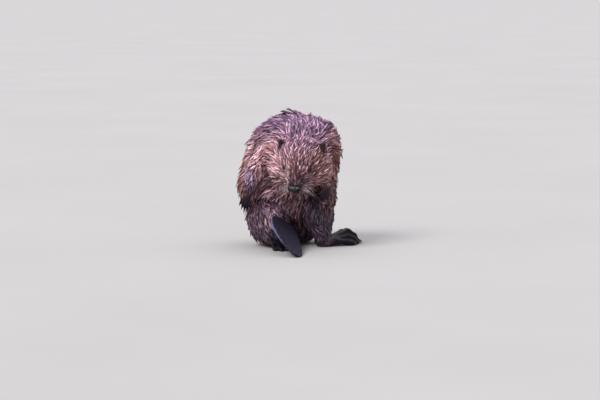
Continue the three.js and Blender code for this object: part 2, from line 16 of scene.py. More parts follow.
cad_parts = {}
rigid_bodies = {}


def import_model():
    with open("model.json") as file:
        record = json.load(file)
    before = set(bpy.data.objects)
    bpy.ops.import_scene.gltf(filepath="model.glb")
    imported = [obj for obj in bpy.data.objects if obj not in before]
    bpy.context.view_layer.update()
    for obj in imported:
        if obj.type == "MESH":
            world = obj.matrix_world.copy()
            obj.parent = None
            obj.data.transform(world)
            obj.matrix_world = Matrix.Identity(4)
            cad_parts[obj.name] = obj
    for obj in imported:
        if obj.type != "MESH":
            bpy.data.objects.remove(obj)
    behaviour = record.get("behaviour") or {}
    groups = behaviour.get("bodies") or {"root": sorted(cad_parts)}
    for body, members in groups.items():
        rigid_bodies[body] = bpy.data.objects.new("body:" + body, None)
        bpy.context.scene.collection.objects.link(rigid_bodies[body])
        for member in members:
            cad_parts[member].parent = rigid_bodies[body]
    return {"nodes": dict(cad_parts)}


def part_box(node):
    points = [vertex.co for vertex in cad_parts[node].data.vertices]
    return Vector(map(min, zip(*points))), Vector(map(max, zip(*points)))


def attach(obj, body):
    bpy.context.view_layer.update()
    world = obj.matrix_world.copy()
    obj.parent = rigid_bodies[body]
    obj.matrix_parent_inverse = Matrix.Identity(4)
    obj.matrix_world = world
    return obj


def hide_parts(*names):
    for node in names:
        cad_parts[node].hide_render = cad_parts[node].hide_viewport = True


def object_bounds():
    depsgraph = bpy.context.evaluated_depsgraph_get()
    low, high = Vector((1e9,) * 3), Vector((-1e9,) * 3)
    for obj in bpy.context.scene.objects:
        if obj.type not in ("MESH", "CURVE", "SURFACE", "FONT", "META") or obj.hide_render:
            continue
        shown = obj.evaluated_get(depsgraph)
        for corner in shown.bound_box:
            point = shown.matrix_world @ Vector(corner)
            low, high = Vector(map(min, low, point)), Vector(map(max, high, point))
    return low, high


for leftover in list(bpy.data.objects):
    bpy.data.objects.remove(leftover)
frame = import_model()
CAD_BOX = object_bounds()

# ---- sizes, in millimetres

SEAT = np.array([4.0, 54.0, 0.0])  # the frame's origin: the middle of the flat that it sits on
MM = 0.001

SKIN_CELL = 2.4
RELAX_ROUNDS = 2
CREASE_BLEND = 5.0
BODY_BLEND = 17.0
HEAD_BLEND = 9.0
LIMB_BLEND = 9.0
PAW_BLEND = 2.2
FINGER_BLEND = 1.2
SKIN_FLOOR = 1.0  # how far the skin stays above the floor, to leave room for hair
FAR = 60.0  # past this distance a form no longer matters

HEAD_YAW = math.radians(16)
HEAD_PITCH = math.radians(50)
HEAD_ROLL = math.radians(3.5)
HEAD_CENTRE = np.array([36.0, -118.0, 264.0])

PALM_LENGTH = 34.0
PALM_WIDTH = 28.0
PALM_THICKNESS = 19.0
FINGER_LENGTH = 27.0
FINGER_RADIUS = 3.4
FINGER_SPLAY = 5.5
HAND_CLAW_LENGTH = 11.0
HAND_CLAW_RADIUS = 2.1

FOOT_LENGTH = 158.0
FOOT_WIDTH = 84.0
TOE_RADIUS = 8.0
FOOT_CLAW_LENGTH = 15.0
FOOT_CLAW_RADIUS = 3.4
INSTEP = 56.0  # from the heel to where the toes part
WEB_RADIUS = 1.7

TAIL_CENTRE = np.array([-2.0, -187.0, 46.0])
TAIL_LENGTH = 252.0
TAIL_WIDTH = 100.0
TAIL_THICKNESS = 21.0
TAIL_RIM = 3.2
TAIL_BOW = 10.0  # how far its middle bends towards the raised edge
SCALE_DEPTH = 0.7  # how far the blade's skin lies inside the tips of the scales

SIDES = ("right", "left")
rng = np.random.default_rng(7)


# ---- vectors


def vec(*numbers):
    return np.array(numbers, dtype=float)


def length(vectors):
    return np.linalg.norm(vectors, axis=-1)


def unit(vectors):
    return vectors / np.maximum(length(vectors)[..., None], 1e-9)


def mix(a, b, share):
    return a + (b - a) * share


def smooth(value, low, high):
    """0 below low, 1 above high, and an even slope between."""
    share = np.clip((value - low) / (high - low), 0, 1)
    return share * share * (3 - 2 * share)


def fade(value, low, high):
    """1 below low, 0 above high, and an even slope between."""
    return smooth(-value, -high, -low)


def circle(count):
    """Angles at even steps round a circle."""
    return 2 * math.pi * np.arange(count) / count


def columns(points):
    """The x, y and z of each point, one column wide."""
    return (points[..., i:i + 1] for i in range(3))


def to_frame(points):
    return (np.asarray(points) - SEAT) * MM


def from_frame(points):
    return np.asarray(points) / MM + SEAT


def turn_about(axis, angle):
    c, s = math.cos(angle), math.sin(angle)
    i, j = [(1, 2), (2, 0), (0, 1)][axis]
    matrix = np.eye(3)
    matrix[i, i] = matrix[j, j] = c
    matrix[i, j] = -s
    matrix[j, i] = s
    return matrix


HEAD_TURN = turn_about(1, HEAD_ROLL) @ turn_about(2, -HEAD_YAW) @ turn_about(0, HEAD_PITCH)


def in_head(left, forward, up):
    return HEAD_TURN @ vec(left, -forward, up) + HEAD_CENTRE


# ---- distance forms


class Form:
    """A signed distance over many points, its box, and the depth of coat that grows on it."""

    def __init__(self, distance, points, reach, coat):
        points = np.atleast_2d(points)
        self.distance = distance
        self.low = points.min(axis=0) - reach
        self.high = points.max(axis=0) + reach
        self.coat = coat


def ellipsoid(centre, radii, coat=0.0, turn=None):
    """turn's columns are the three axes of the ellipsoid."""
    turn = np.eye(3) if turn is None else turn
    radii = np.asarray(radii, dtype=float) - coat

    def distance(points):
        local = (points - centre) @ turn / radii
        scaled = length(local)
        return scaled * (scaled - 1) / np.maximum(length(local / radii), 1e-6)

    return Form(distance, centre, radii.max(), coat)


def limb(start, end, start_radius, end_radius, coat=0.0):
    start, end = vec(*start), vec(*end)
    axis = end - start
    start_radius, end_radius = start_radius - coat, end_radius - coat

    def distance(points):
        local = points - start
        along = np.clip(local @ axis / (axis @ axis), 0, 1)
        return length(local - along[..., None] * axis) - mix(start_radius, end_radius, along)

    return Form(distance, [start, end], max(start_radius, end_radius), coat)


def chain(points, radii, coat=0.0):
    """Limbs from each point to the next."""
    return [limb(*points[i:i + 2], *radii[i:i + 2], coat) for i in range(len(points) - 1)]


class Group:
    """Forms that melt into one another, less the cuts."""

    def __init__(self, softness, forms, cuts=()):
        self.softness = softness
        self.forms = forms
        self.cuts = cuts
        self.low = np.min([form.low for form in forms], axis=0)
        self.high = np.max([form.high for form in forms], axis=0)

    def distance(self, points):
        total = sum(np.exp(np.clip(-form.distance(points) / self.softness, -40, 40)) for form in self.forms)
        whole = -self.softness * np.log(total)
        for cut in self.cuts:
            whole = np.maximum(whole, -cut.distance(points))
        return whole


# ---- the beaver's forms


def one_limb(*values):
    return Group(LIMB_BLEND, [limb(*values)])


def body_groups():
    return {
        "trunk": Group(BODY_BLEND, [
            ellipsoid((4, 54, 100), (112, 100, 118), 12),
            ellipsoid((-11, 14, 178), (150, 108, 118), 12),
            ellipsoid((12, 26, 266), (138, 104, 140), 13),
            ellipsoid((90, 4, 303), (62, 73, 80), 12),
            ellipsoid((-56, 4, 282), (70, 68, 74), 12),
        ]),
        "neck": Group(BODY_BLEND, [
            limb((26, -30, 306), (36, -92, 270), 76, 67, 10),
            limb((16, -70, 215), (28, -108, 206), 62, 45, 9),
            limb((72, -24, 292), (86, -80, 240), 56, 42, 9),
            limb((-50, -56, 276), (-34, -78, 238), 38, 36, 9),
        ]),
        "head": Group(HEAD_BLEND, [
            ellipsoid(in_head(0, 0, 10), (67, 62, 50), 5, HEAD_TURN),
            ellipsoid(in_head(0, -24, 18), (70, 40, 42), 6.5, HEAD_TURN),
            ellipsoid(in_head(-44, 8, -26), (44, 52, 42), 7.5, HEAD_TURN),
            ellipsoid(in_head(46, 8, -26), (49, 52, 43), 7.5, HEAD_TURN),
            limb(in_head(0, 34, -2), in_head(0, 84, -8), 38, 25, 3),
            limb(in_head(0, 30, -36), in_head(0, 78, -32), 26, 15, 4),
        ]),
        "upper_arm_right": one_limb((-66, -42, 288), (-102, -76, 238), 42, 33, 8),
        "forearm_right": one_limb((-105, -84, 226), (-124, -88, 170), 31, 14, 4),
        "upper_arm_left": one_limb((106, -34, 244), (110, -68, 138), 42, 30, 8),
        "forearm_left": one_limb((110, -80, 144), (111, -122, 198), 29, 14, 4),
        "thigh_right": Group(LIMB_BLEND, [
            ellipsoid((-64, -12, 84), (70, 94, 86), 9),
            ellipsoid((-64, -62, 88), (56, 54, 58), 9),
        ]),
        "thigh_left": Group(LIMB_BLEND, [
            ellipsoid((84, 0, 92), (52, 92, 74), 9),
            ellipsoid((80, -58, 118), (44, 48, 50), 8),
        ]),
        "shank_right": one_limb((-58, -84, 50), (-40, -44, 28), 38, 25, 6),
        "shank_left": one_limb((86, -66, 110), (104, -52, 26), 40, 25, 6),
        "tail_root": one_limb((4, 0, 44), (-24, -76, 76), 40, 27, 6),
    }


class Hand:
    """Where the joints of a hand are. It leaves the wrist along `along`, its back to `back`."""

    def __init__(self, wrist, along, back, curl, thumb_side):
        self.wrist = vec(*wrist)
        self.forward = unit(vec(*along))
        back = vec(*back)
        self.dorsal = unit(back - back @ self.forward * self.forward)
        self.across = np.cross(self.forward, self.dorsal) * thumb_side
        self.curl = curl

    def spot(self, reach, side, lift):
        return self.wrist + self.forward * reach + self.across * side + self.dorsal * lift

    def joint(self, finger, share):
        spread = (finger - 2) / 2
        long = FINGER_LENGTH * (1 - 0.22 * spread**2)
        root = self.spot(PALM_LENGTH * (0.92 - 0.16 * spread**2), spread * PALM_WIDTH * 0.4, 0)
        reach = self.forward * long * share * math.cos(self.curl * share)
        drop = self.dorsal * long * share * math.sin(self.curl * share)
        return root + reach - drop + self.across * spread * FINGER_SPLAY * share

    def group(self):
        turn = np.column_stack([self.across, self.forward, self.dorsal])
        palm = (PALM_WIDTH / 2 - 1, PALM_LENGTH * 0.6, PALM_THICKNESS / 2 - 0.5)
        forms = [
            limb(self.wrist, self.spot(12, 0, 0), 13, 11, 1),
            ellipsoid(self.spot(PALM_LENGTH * 0.55, 0, 0), palm, 0.8, turn),
        ]
        for finger in range(5):
            joints = [self.joint(finger, share) for share in (0, 0.35, 0.7, 1)]
            forms += chain(joints, FINGER_RADIUS * vec(1.1, 0.92, 0.98, 0.7))
        return Group(FINGER_BLEND, forms, [self.gap(finger) for finger in range(4)])

    def gap(self, finger):
        """What is cut away between a finger and the next."""
        low, high = (
            mix(self.joint(finger, share), self.joint(finger + 1, share), 0.5) + lift * self.dorsal
            for share, lift in ((0.05, 5.5), (1.1, 3.0))
        )
        return limb(low, high, 1.0, 2.4)

    def claws(self):
        for finger in range(5):
            tip = self.joint(finger, 1 + HAND_CLAW_LENGTH / FINGER_LENGTH)
            yield self.joint(finger, 0.86), tip, self.dorsal, HAND_CLAW_RADIUS


class Foot:
    """Where the joints of a hind foot are. The sole is on the floor; arch is how bent each toe is."""

    def __init__(self, heel, heading, inner_side, knuckle, arch):
        self.heel = vec(*heel)
        angle = math.radians(heading)
        self.forward = vec(math.cos(angle), math.sin(angle), 0)
        self.inner = vec(-math.sin(angle), math.cos(angle), 0) * inner_side
        self.knuckle = knuckle
        self.arch = arch

    def spot(self, reach, side, height):
        return self.heel + self.forward * reach + self.inner * side + vec(0, 0, height)

    def toe(self, number):
        spread = (2 - number) / 2
        long = FOOT_LENGTH * (0.72, 0.88, 0.98, 1, 0.9)[number] - FOOT_CLAW_LENGTH * 0.6
        high = self.knuckle * self.arch[number]

        def fan(share):
            return spread * (FOOT_WIDTH / 2 - TOE_RADIUS) * (0.55 + 0.45 * share)

        line = [
            self.spot(INSTEP, fan(0), 12 + high * 0.35),
            self.spot(mix(INSTEP, long, 0.58), fan(0.5), TOE_RADIUS * 0.9 + high),
            self.spot(mix(INSTEP, long, 0.82), fan(0.8), TOE_RADIUS * 0.8 + high * 0.6),
            self.spot(long, fan(1), TOE_RADIUS * 0.66),
        ]
        return line, self.spot(long + FOOT_CLAW_LENGTH, fan(1.05), 1.8)

    def group(self):
        forms = [limb(self.spot(4, 4 * side, 16), self.spot(44, 6 * side, 15), 15, 15, 1) for side in (-1, 1)]
        lines = [self.toe(number)[0] for number in range(5)]
        for number, line in enumerate(lines):
            spread = (2 - number) / 2
            forms.append(limb(self.spot(18, spread * 8, 14), line[0], 10, 9, 0.8))
            forms += chain(line, TOE_RADIUS * vec(1.05, 0.92, 0.86, 0.62), 0.5)
        for one, other in zip(lines, lines[1:]):
            for share in np.linspace(0.05, 0.96, 12):
                forms.append(limb(along_line(one, share), along_line(other, share), WEB_RADIUS, WEB_RADIUS))
        return Group(PAW_BLEND, forms)

    def claws(self):
        for number in range(5):
            line, tip = self.toe(number)
            yield mix(line[2], line[3], 0.75), tip, vec(0, 0, 1), FOOT_CLAW_RADIUS


def along_line(points, share):
    """The point at a share of the way through a list of evenly counted points."""
    place = share * (len(points) - 1)
    step = min(int(place), len(points) - 2)
    return mix(points[step], points[step + 1], place - step)


HANDS = {
    "right": Hand((-124, -88, 170), (-0.28, 0.12, -1), (-0.35, -1, -0.1), 0.3, 1),
    "left": Hand((111, -122, 198), (-0.14, -0.5, -0.75), (0.6, -0.9, 0.2), 0.85, -1),
}
FEET = {
    "right": Foot((-36, -14, 0), -80, 1, 7, (0.6, 0.9, 1, 1, 0.8)),
    "left": Foot((86, -52, 0), 33, -1, 33, (0.1, 0.55, 1, 1, 0.9)),
}

# ---- the tail blade

TAIL_AXIS = unit(vec(0.17, -0.872, -0.307))  # towards the tip
TAIL_ACROSS = vec(0.85, 0.546, -0.498)  # towards the edge that is on the floor
TAIL_ACROSS = unit(TAIL_ACROSS - TAIL_ACROSS @ TAIL_AXIS * TAIL_AXIS)
TAIL_OVER = np.cross(TAIL_AXIS, TAIL_ACROSS)


def tail_half_width(share):
    share = np.clip(share, 0, 1)
    swell = np.sin(np.pi * share**0.855) ** 0.4
    return np.maximum(TAIL_WIDTH / 2 * swell, 23 * (1 - share) ** 2)


def tail_half_thickness(share, side):
    """side is the place across the blade as a share of its half width."""
    thick = TAIL_THICKNESS * (1 - 0.62 * np.clip(share, 0, 1)) / 2
    rim = TAIL_RIM / 2
    room = np.minimum(1, tail_half_width(share) / 12)
    return (rim + (thick - rim) * np.clip(1 - side**2, 0, 1) ** 0.35) * room


def tail_bend(share):
    return TAIL_BOW * (1 - (2 * np.clip(share, 0, 1) - 1) ** 2)


def tail_coordinates(points):
    local = points - TAIL_CENTRE
    along = local @ TAIL_AXIS
    return along, local @ TAIL_ACROSS + tail_bend(along / TAIL_LENGTH + 0.5), local @ TAIL_OVER


def tail_form():
    def distance(points):
        along, across, over = tail_coordinates(points)
        share = along / TAIL_LENGTH + 0.5
        half = tail_half_width(share)
        ends = np.maximum(along - TAIL_LENGTH / 2, -TAIL_LENGTH / 2 - along)
        edge = np.maximum((np.abs(across) - half) * 0.75, ends)
        face = np.abs(over) - tail_half_thickness(share, across / np.maximum(half, 1)) + SCALE_DEPTH
        return np.maximum(edge + 1.2, face)

    reach = np.abs(TAIL_AXIS) * TAIL_LENGTH / 2 + np.abs(TAIL_ACROSS) * (TAIL_WIDTH / 2 + TAIL_BOW) + 12
    return Form(distance, [TAIL_CENTRE - reach, TAIL_CENTRE + reach], 0, SCALE_DEPTH)


# ---- eyes and ears


def box_middle(node):
    low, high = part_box(node)
    return from_frame((np.array(low) + np.array(high)) / 2)


EYES = {side: box_middle("eye_" + side) for side in SIDES}
EARS = {side: box_middle("ear_" + side) for side in SIDES}


def outward(group, point):
    """The way out of a group of forms at a point."""
    step = np.eye(3) * 0.5
    return unit(group.distance(point + step) - group.distance(point - step))


EYE_OUT = {side: outward(body_groups()["head"], EYES[side]) for side in SIDES}


def eye_mound(side):
    """The rise of the skin that holds the eyeball."""
    deep, shallow = (EYES[side] - depth * EYE_OUT[side] for depth in (14, 2))
    return Group(1.0, [limb(deep, shallow, 7.5, 4.4)])


def ear_group(side):
    """A rounded cup, open to its own side."""
    centre = EARS[side]
    out = 1 if side == "left" else -1
    turn = HEAD_TURN @ turn_about(2, math.radians(7))
    outer = ellipsoid(centre, (5, 12.5, 15), 0.6, turn)
    hollow = ellipsoid(centre + turn @ vec(out * 4.2, 0, 1.0), (4.6, 9.2, 11.6), 0, turn)
    return Group(1.5, [outer], [hollow])


def mouth_cuts():
    """The crease between the muzzle and the lower jaw."""
    middle = in_head(0, 98, -24)
    return [limb(middle, in_head(side * 20, 74, -27), 1.8, 1.6) for side in (-1, 1)]


def skin_groups():
    groups = body_groups()
    groups["head"].cuts = mouth_cuts()
    for side in SIDES:
        groups["hand_" + side] = HANDS[side].group()
        groups["foot_" + side] = FEET[side].group()
        groups["ear_" + side] = ear_group(side)
    groups["tail_blade"] = Group(1.0, [tail_form()])
    return groups


GROUPS = skin_groups()


# ---- the field on a grid


class Grid:
    """Values at the points of an even grid, read between the points by linear mixing."""

    def __init__(self, low, high, cell):
        self.low = np.asarray(low, dtype=float)
        self.cell = cell
        self.counts = np.ceil((np.asarray(high) - self.low) / cell).astype(int) + 1

    def axis(self, i, start=0, stop=None):
        stop = self.counts[i] if stop is None else stop
        return self.low[i] + self.cell * np.arange(start, stop)

    def window(self, low, high):
        first = np.clip(((low - self.low) / self.cell).astype(int), 0, self.counts - 1)
        last = np.clip(np.ceil((high - self.low) / self.cell).astype(int) + 1, 1, self.counts)
        return first, last

    def points(self, first=(0, 0, 0), last=(None, None, None)):
        axes = [self.axis(i, first[i], last[i]) for i in range(3)]
        return np.stack(np.meshgrid(*axes, indexing="ij"), axis=-1).astype(np.float32)

    def read(self, values, points):
        place = (points - self.low) / self.cell
        base = np.clip(np.floor(place).astype(int), 0, self.counts - 2)
        share = np.clip(place - base, 0, 1)
        total = 0
        for corner in np.ndindex(2, 2, 2):
            weight = np.prod(np.where(corner, share, 1 - share), axis=-1)
            value = values[tuple((base + corner).T)]
            total = total + (value * weight if value.ndim == 1 else value * weight[:, None])
        return total


def grid_round_cad(margin, cell):
    """An empty grid over the solids' box, with a margin round it."""
    low, high = (from_frame(corner) for corner in CAD_BOX)
    return Grid(low - margin, high + margin, cell)


def lay_skin():
    """The distance to the skin at every point of a grid."""
    grid = grid_round_cad(12, SKIN_CELL)
    total = np.full(grid.counts, 1e-12, dtype=np.float32)
    for group in [*GROUPS.values(), *map(eye_mound, SIDES)]:
        first, last = grid.window(group.low - 25, group.high + 25)
        points = grid.points(first, last)
        near = tuple(slice(a, b) for a, b in zip(first, last))
        total[near] += np.exp(-np.clip(group.distance(points), -150, FAR) / CREASE_BLEND)
    field = -CREASE_BLEND * np.log(total)
    floor = SKIN_FLOOR - grid.axis(2)
    return grid, np.maximum(field, floor[None, None, :]).astype(np.float32)


def surface_nets(grid, field):
    """One vertex in each cell that the surface crosses, and one quad on each grid edge that it cuts."""
    cells = np.array(field.shape) - 1
    sums = np.zeros((4, cells.prod()))
    cuts = []
    for axis in range(3):
        shift = np.eye(3, dtype=int)[axis]
        here = field[tuple(slice(0, n - s) for n, s in zip(field.shape, shift))]
        there = field[tuple(slice(s, None) for s in shift)]
        base = np.argwhere((here < 0) != (there < 0))
        a, b = here[tuple(base.T)], there[tuple(base.T)]
        point = base + (a / (a - b))[:, None] * shift
        sides = [i for i in range(3) if i != axis]
        inner = np.all([(base[:, i] > 0) & (base[:, i] < cells[i]) for i in sides], axis=0)
        base, point, a = base[inner], point[inner], a[inner]
        ring = []
        for back in ((1, 1), (0, 1), (0, 0), (1, 0)):
            cell = base.copy()
            cell[:, sides[0]] -= back[0]
            cell[:, sides[1]] -= back[1]
            index = np.ravel_multi_index(cell.T, cells)
            ring.append(index)
            sums[3] += np.bincount(index, minlength=sums.shape[1])
            for i in range(3):
                sums[i] += np.bincount(index, weights=point[:, i], minlength=sums.shape[1])
        ring = np.stack(ring, axis=1)
        flip = (a > 0) if axis != 1 else (a < 0)
        ring[flip] = ring[flip][:, ::-1]
        cuts.append(ring)
    used = np.flatnonzero(sums[3])
    number = np.full(sums.shape[1], -1)
    number[used] = np.arange(len(used))
    vertices = (sums[:3, used] / sums[3, used]).T * grid.cell + grid.low
    quads = number[np.concatenate(cuts)]
    return relax(vertices, quads), quads


def relax(vertices, quads):
    """Evens the spacing of the vertices by moving each halfway to the middle of its neighbours."""
    pairs = np.concatenate([quads[:, [i, (i + 1) % 4]] for i in range(4)])
    total = len(vertices)
    count = np.bincount(pairs[:, 0], minlength=total)[:, None]
    for _ in range(RELAX_ROUNDS):
        sums = [np.bincount(pairs[:, 0], weights=each, minlength=total) for each in vertices[pairs[:, 1]].T]
        vertices = mix(vertices, np.stack(sums, axis=1) / np.maximum(count, 1), 0.5)
    return vertices


GRID, FIELD = lay_skin()
SLOPE = np.stack(np.gradient(FIELD, SKIN_CELL), axis=-1)


def skin_at(points):
    """The distance to the skin and the outward direction at each point."""
    return GRID.read(FIELD, points), unit(GRID.read(SLOPE, points))


# ---- objects


def put(name, data):
    """A new object in the scene."""
    piece = bpy.data.objects.new(name, data)
    bpy.context.scene.collection.objects.link(piece)
    return piece


def mesh_object(name, vertices, face_sets, material):
    """Each face set is an array with one row of vertex numbers for each face."""
    mesh = bpy.data.meshes.new(name)
    face_sets = [np.asarray(faces, dtype=np.int32) for faces in face_sets]
    corners = np.concatenate([faces.ravel() for faces in face_sets])
    sizes = np.concatenate([np.full(len(faces), faces.shape[1]) for faces in face_sets])
    starts = (np.cumsum(sizes) - sizes).astype(np.int32)
    mesh.vertices.add(len(vertices))
    mesh.vertices.foreach_set("co", to_frame(vertices).astype(np.float32).ravel())
    mesh.loops.add(len(corners))
    mesh.loops.foreach_set("vertex_index", corners)
    mesh.polygons.add(len(sizes))
    mesh.polygons.foreach_set("loop_start", starts)
    mesh.polygons.foreach_set("use_smooth", np.ones(len(sizes), dtype=bool))
    mesh.update(calc_edges=True)
    mesh.materials.append(material)
    piece = put(name, mesh)
    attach(piece, "root")
    return piece


def mark(piece, colours):
    """Stores a colour on each vertex."""
    marking = np.concatenate([colours, np.ones((len(colours), 1))], axis=1)
    attribute = piece.data.attributes.new("marking", "FLOAT_COLOR", "POINT")
    attribute.data.foreach_set("color", marking.astype(np.float32).ravel())


def ring_quads(rings, sides):
    """The quads between rings of vertices that are numbered one ring after another."""
    pairs = [(r * sides + s, r * sides + (s + 1) % sides) for r in range(rings - 1) for s in range(sides)]
    return np.array([(a, b, b + sides, a + sides) for a, b in pairs])


def ring_cap(start, sides, tip):
    """The triangles from a ring of vertices to one beyond it."""
    return np.array([(start + s, start + (s + 1) % sides, tip) for s in range(sides)])


def repeated(faces, size, count):
    """The faces of many shapes with size vertices each, from one pattern, or from one for each shape."""
    return (faces + size * np.arange(count)[:, None, None]).reshape(-1, faces.shape[-1])


# ---- colours


def srgb(red, green, blue):
    """A colour given as 0 to 255 screen values, as the linear values that Blender works in."""
    share = np.array([red, green, blue]) / 255
    return np.where(share <= 0.04045, share / 12.92, ((share + 0.055) / 1.055) ** 2.4)


# painted sky reflection: the mauve that wet fur facing up shows
SKY_SHEEN_MAUVE = srgb(136, 97, 132)
SHOULDER_PINK = srgb(220, 156, 162)
BACK_BROWN = srgb(142, 94, 90)
FLANK_RUST = srgb(142, 86, 74)
BELLY_DARK = srgb(120, 82, 90)
LEG_DARK = srgb(73, 57, 74)
THIGH_MAUVE = srgb(85, 58, 77)
HEAD_BROWN = srgb(168, 116, 126)
LEFT_CHEEK = srgb(166, 116, 106)
CHEEK_PALE = srgb(214, 150, 148)
MUZZLE_DARK = srgb(90, 60, 65)
RIDGE_PALE = srgb(240, 200, 196)
LIP_PALE = srgb(176, 146, 152)
PAW_DARK = srgb(20, 11, 27)
EAR_DARK = srgb(24, 16, 24)
LID_DARK = srgb(12, 7, 8)
EYE_BLACK = srgb(8, 6, 7)
IRIS_BROWN = srgb(46, 30, 24)
TAIL_SLATE = srgb(30, 22, 46)
# painted sky reflection on the tail's raised edge
TAIL_RIM_HIGHLIGHT = srgb(150, 146, 190)
HAIR_HIGHLIGHT = srgb(226, 186, 212)
# painted highlight: the pale lilac of wet hair that catches the sky
NOSE_BLACK = srgb(20, 15, 18)
# painted highlight along the outer edge of the right forearm
FOREARM_HIGHLIGHT = srgb(148, 119, 155)
# painted highlight on the front of the right knee
KNEE_HIGHLIGHT = srgb(206, 150, 140)
CLAW_HORN = srgb(44, 34, 34)
WHISKER_PALE = srgb(214, 202, 206)

# ---- the coat's map

ZONES = ("trunk", "neck", "head", "arm", "thigh", "shank", "hand", "foot", "ear", "tail")
MAP_CELL = 8.0
MAP_BLEND = 7.0
NOSE = in_head(0, 103, -1)
NAPE = vec(34, -96, 306)
DOWN = vec(0, 0, -1)


def zone_shares(zones):
    """The share of each zone by its name, one column wide."""
    return {name: zones[:, i:i + 1] for i, name in enumerate(ZONES)}


def zone_of(name):
    for zone in ZONES[3:]:
        if zone in name:
            return ZONES.index(zone)
    return ZONES.index(name)


def lie_of(name, points):
    """The way that hair on this sub-part points, before it is laid along the skin."""
    away_from_nose = unit(points - NOSE)
    if name == "head":
        return away_from_nose
    if name == "neck":
        return unit(away_from_nose + 0.5 * unit(points - NAPE))
    if name == "trunk":
        x, y, z = columns(points)
        right = fade(x, -40, 50) * smooth(z, 190, 300)
        left = smooth(x, 20, 90) * smooth(z, 210, 300)
        down = (0.6 - 0.35 * smooth(z, 280, 380)) * (1 - 0.8 * left)
        belly = fade(y, -70, -30) * fade(x, -10, 60) * fade(z, 200, 240)
        return unit(unit(points - NAPE) + down * DOWN + right * SWEEP + belly * COMBED)
    if name.startswith("hand"):
        return HANDS[name[5:]].forward + 0 * points
    if name.startswith("foot"):
        return FEET[name[5:]].forward + 0 * points
    return unit(LIES[name]) + 0 * points


SWEEP = vec(-1.15, -0.1, -0.4)  # across the right side of the back, towards the flank
COMBED = vec(-1.3, 0, -0.3)  # across the belly, towards the right flank
LIES = {
    "upper_arm_right": vec(-46, -20, -44),
    "forearm_right": vec(-24, -4, -56),
    "upper_arm_left": vec(4, -34, -106),
    "forearm_left": vec(20, -42, 40),
    "thigh_right": vec(0.25, -0.35, -1),
    "thigh_left": vec(0.05, -0.2, -1),
    "shank_right": vec(18, 40, -22),
    "shank_left": vec(18, 14, -84),
    "tail_root": vec(-28, -76, 32),
    "tail_blade": TAIL_AXIS,
    "ear_right": HEAD_TURN @ vec(0, 0.3, 1),
    "ear_left": HEAD_TURN @ vec(0, 0.3, 1),
}


def wander(points, size, seed):
    """A slowly varying push, about 1 long at most, for hair that doesn't all lie one way."""
    waves = np.random.default_rng(seed)
    total = np.zeros_like(points, dtype=float)
    for _ in range(5):
        wave = unit(waves.normal(size=3)) * 2 * math.pi / (size * waves.uniform(0.6, 1.5))
        phase = waves.uniform(0, 2 * math.pi)
        total += np.sin(points @ wave + phase)[..., None] * unit(waves.normal(size=3)) * 0.45
    return total


def nearness(form, points):
    return np.exp(-np.clip(form.distance(points), -40, 80) / MAP_BLEND)


def map_coat():
    """Coat depth, lie of the hair and zones at the points of a coarse grid."""
    grid = grid_round_cad(20, MAP_CELL)
    points = grid.points().astype(float)
    weights, depth = np.full((2, *points.shape[:3]), 1e-9)
    lie = np.zeros(points.shape)
    zones = np.zeros(points.shape[:3] + (len(ZONES),))
    for name, group in GROUPS.items():
        for form in group.forms:
            near = nearness(form, points)
            weights += near
            depth += near * form.coat
        near = nearness(group, points)
        lie += near[..., None] * lie_of(name, points)
        zones[..., zone_of(name)] += near
    zones /= zones.sum(axis=-1, keepdims=True) + 1e-9
    lie = unit(lie) + 0.42 * wander(points, 90, 3) + 0.22 * wander(points, 34, 4)
    return grid, depth / weights, lie, zones


MAP, MAP_DEPTH, MAP_LIE, MAP_ZONES = map_coat()


def body_tone(points, normals):
    """The coat of trunk, neck and arms: a painted mauve sky reflection on fur that faces up, pink on the
    right shoulder, rusty at the flanks.
    """
    x, _, z = columns(points)
    up, front = normals[:, 2:3], -normals[:, 1:2]
    tone = mix(BACK_BROWN, FLANK_RUST, smooth(np.abs(x), 80, 150))
    tone = mix(tone, SHOULDER_PINK, smooth(x, 112, 140) * fade(z, 190, 230) * smooth(z, 60, 120) * 0.5)
    # painted sky reflection on the fur that faces up, high on the back
    tone = mix(tone, SKY_SHEEN_MAUVE, smooth(up, 0.0, 0.75) * smooth(z, 240, 350))
    pink = fade(x, -60, 10) * smooth(z, 190, 270) * fade(z, 300, 360) * smooth(front, 0.1, 0.6)
    return mix(tone, SHOULDER_PINK, pink * 0.9)


def head_tone(points):
    """Brown, paler on the right cheek, the ridge beside the muzzle and the lip, dark round the nose."""
    across, forward, up = (((points - HEAD_CENTRE) @ HEAD_TURN) * vec(1, -1, 1)).T[..., None]
    from_nose = length(points - NOSE)[:, None]
    # painted sky reflection towards the crown, away from the nose
    tone = mix(HEAD_BROWN, SKY_SHEEN_MAUVE, 0.6 * smooth(from_nose, 95, 150))
    cheek = fade(across, -46, -16) * smooth(from_nose, 30, 70) * fade(up, 5, 45)
    tone = mix(tone, CHEEK_PALE, cheek * 0.9)
    tone = mix(tone, LEFT_CHEEK, smooth(across, 20, 60) * 0.8)
    tone = mix(tone, MUZZLE_DARK, fade(from_nose, 30, 66))
    ridge = fade(np.abs(across + 25), 2, 6) * smooth(forward, 30, 50) * smooth(up, -24, -8)
    tone = mix(tone, RIDGE_PALE, ridge * 0.9)
    lip = fade(np.abs(from_nose - 21), 2, 5) * fade(up, -9, -4) * fade(np.abs(across), 9, 15)
    return mix(tone, LIP_PALE, lip * 0.8)


def tail_tone(points):
    along, across, _ = tail_coordinates(points)
    edge = -across / np.maximum(tail_half_width(along / TAIL_LENGTH + 0.5), 1)
    # a painted sky reflection along the blade's raised edge
    return mix(TAIL_SLATE, TAIL_RIM_HIGHLIGHT, smooth(edge, 0.94, 0.985)[:, None])


KNEE = vec(-55, 0, 96)


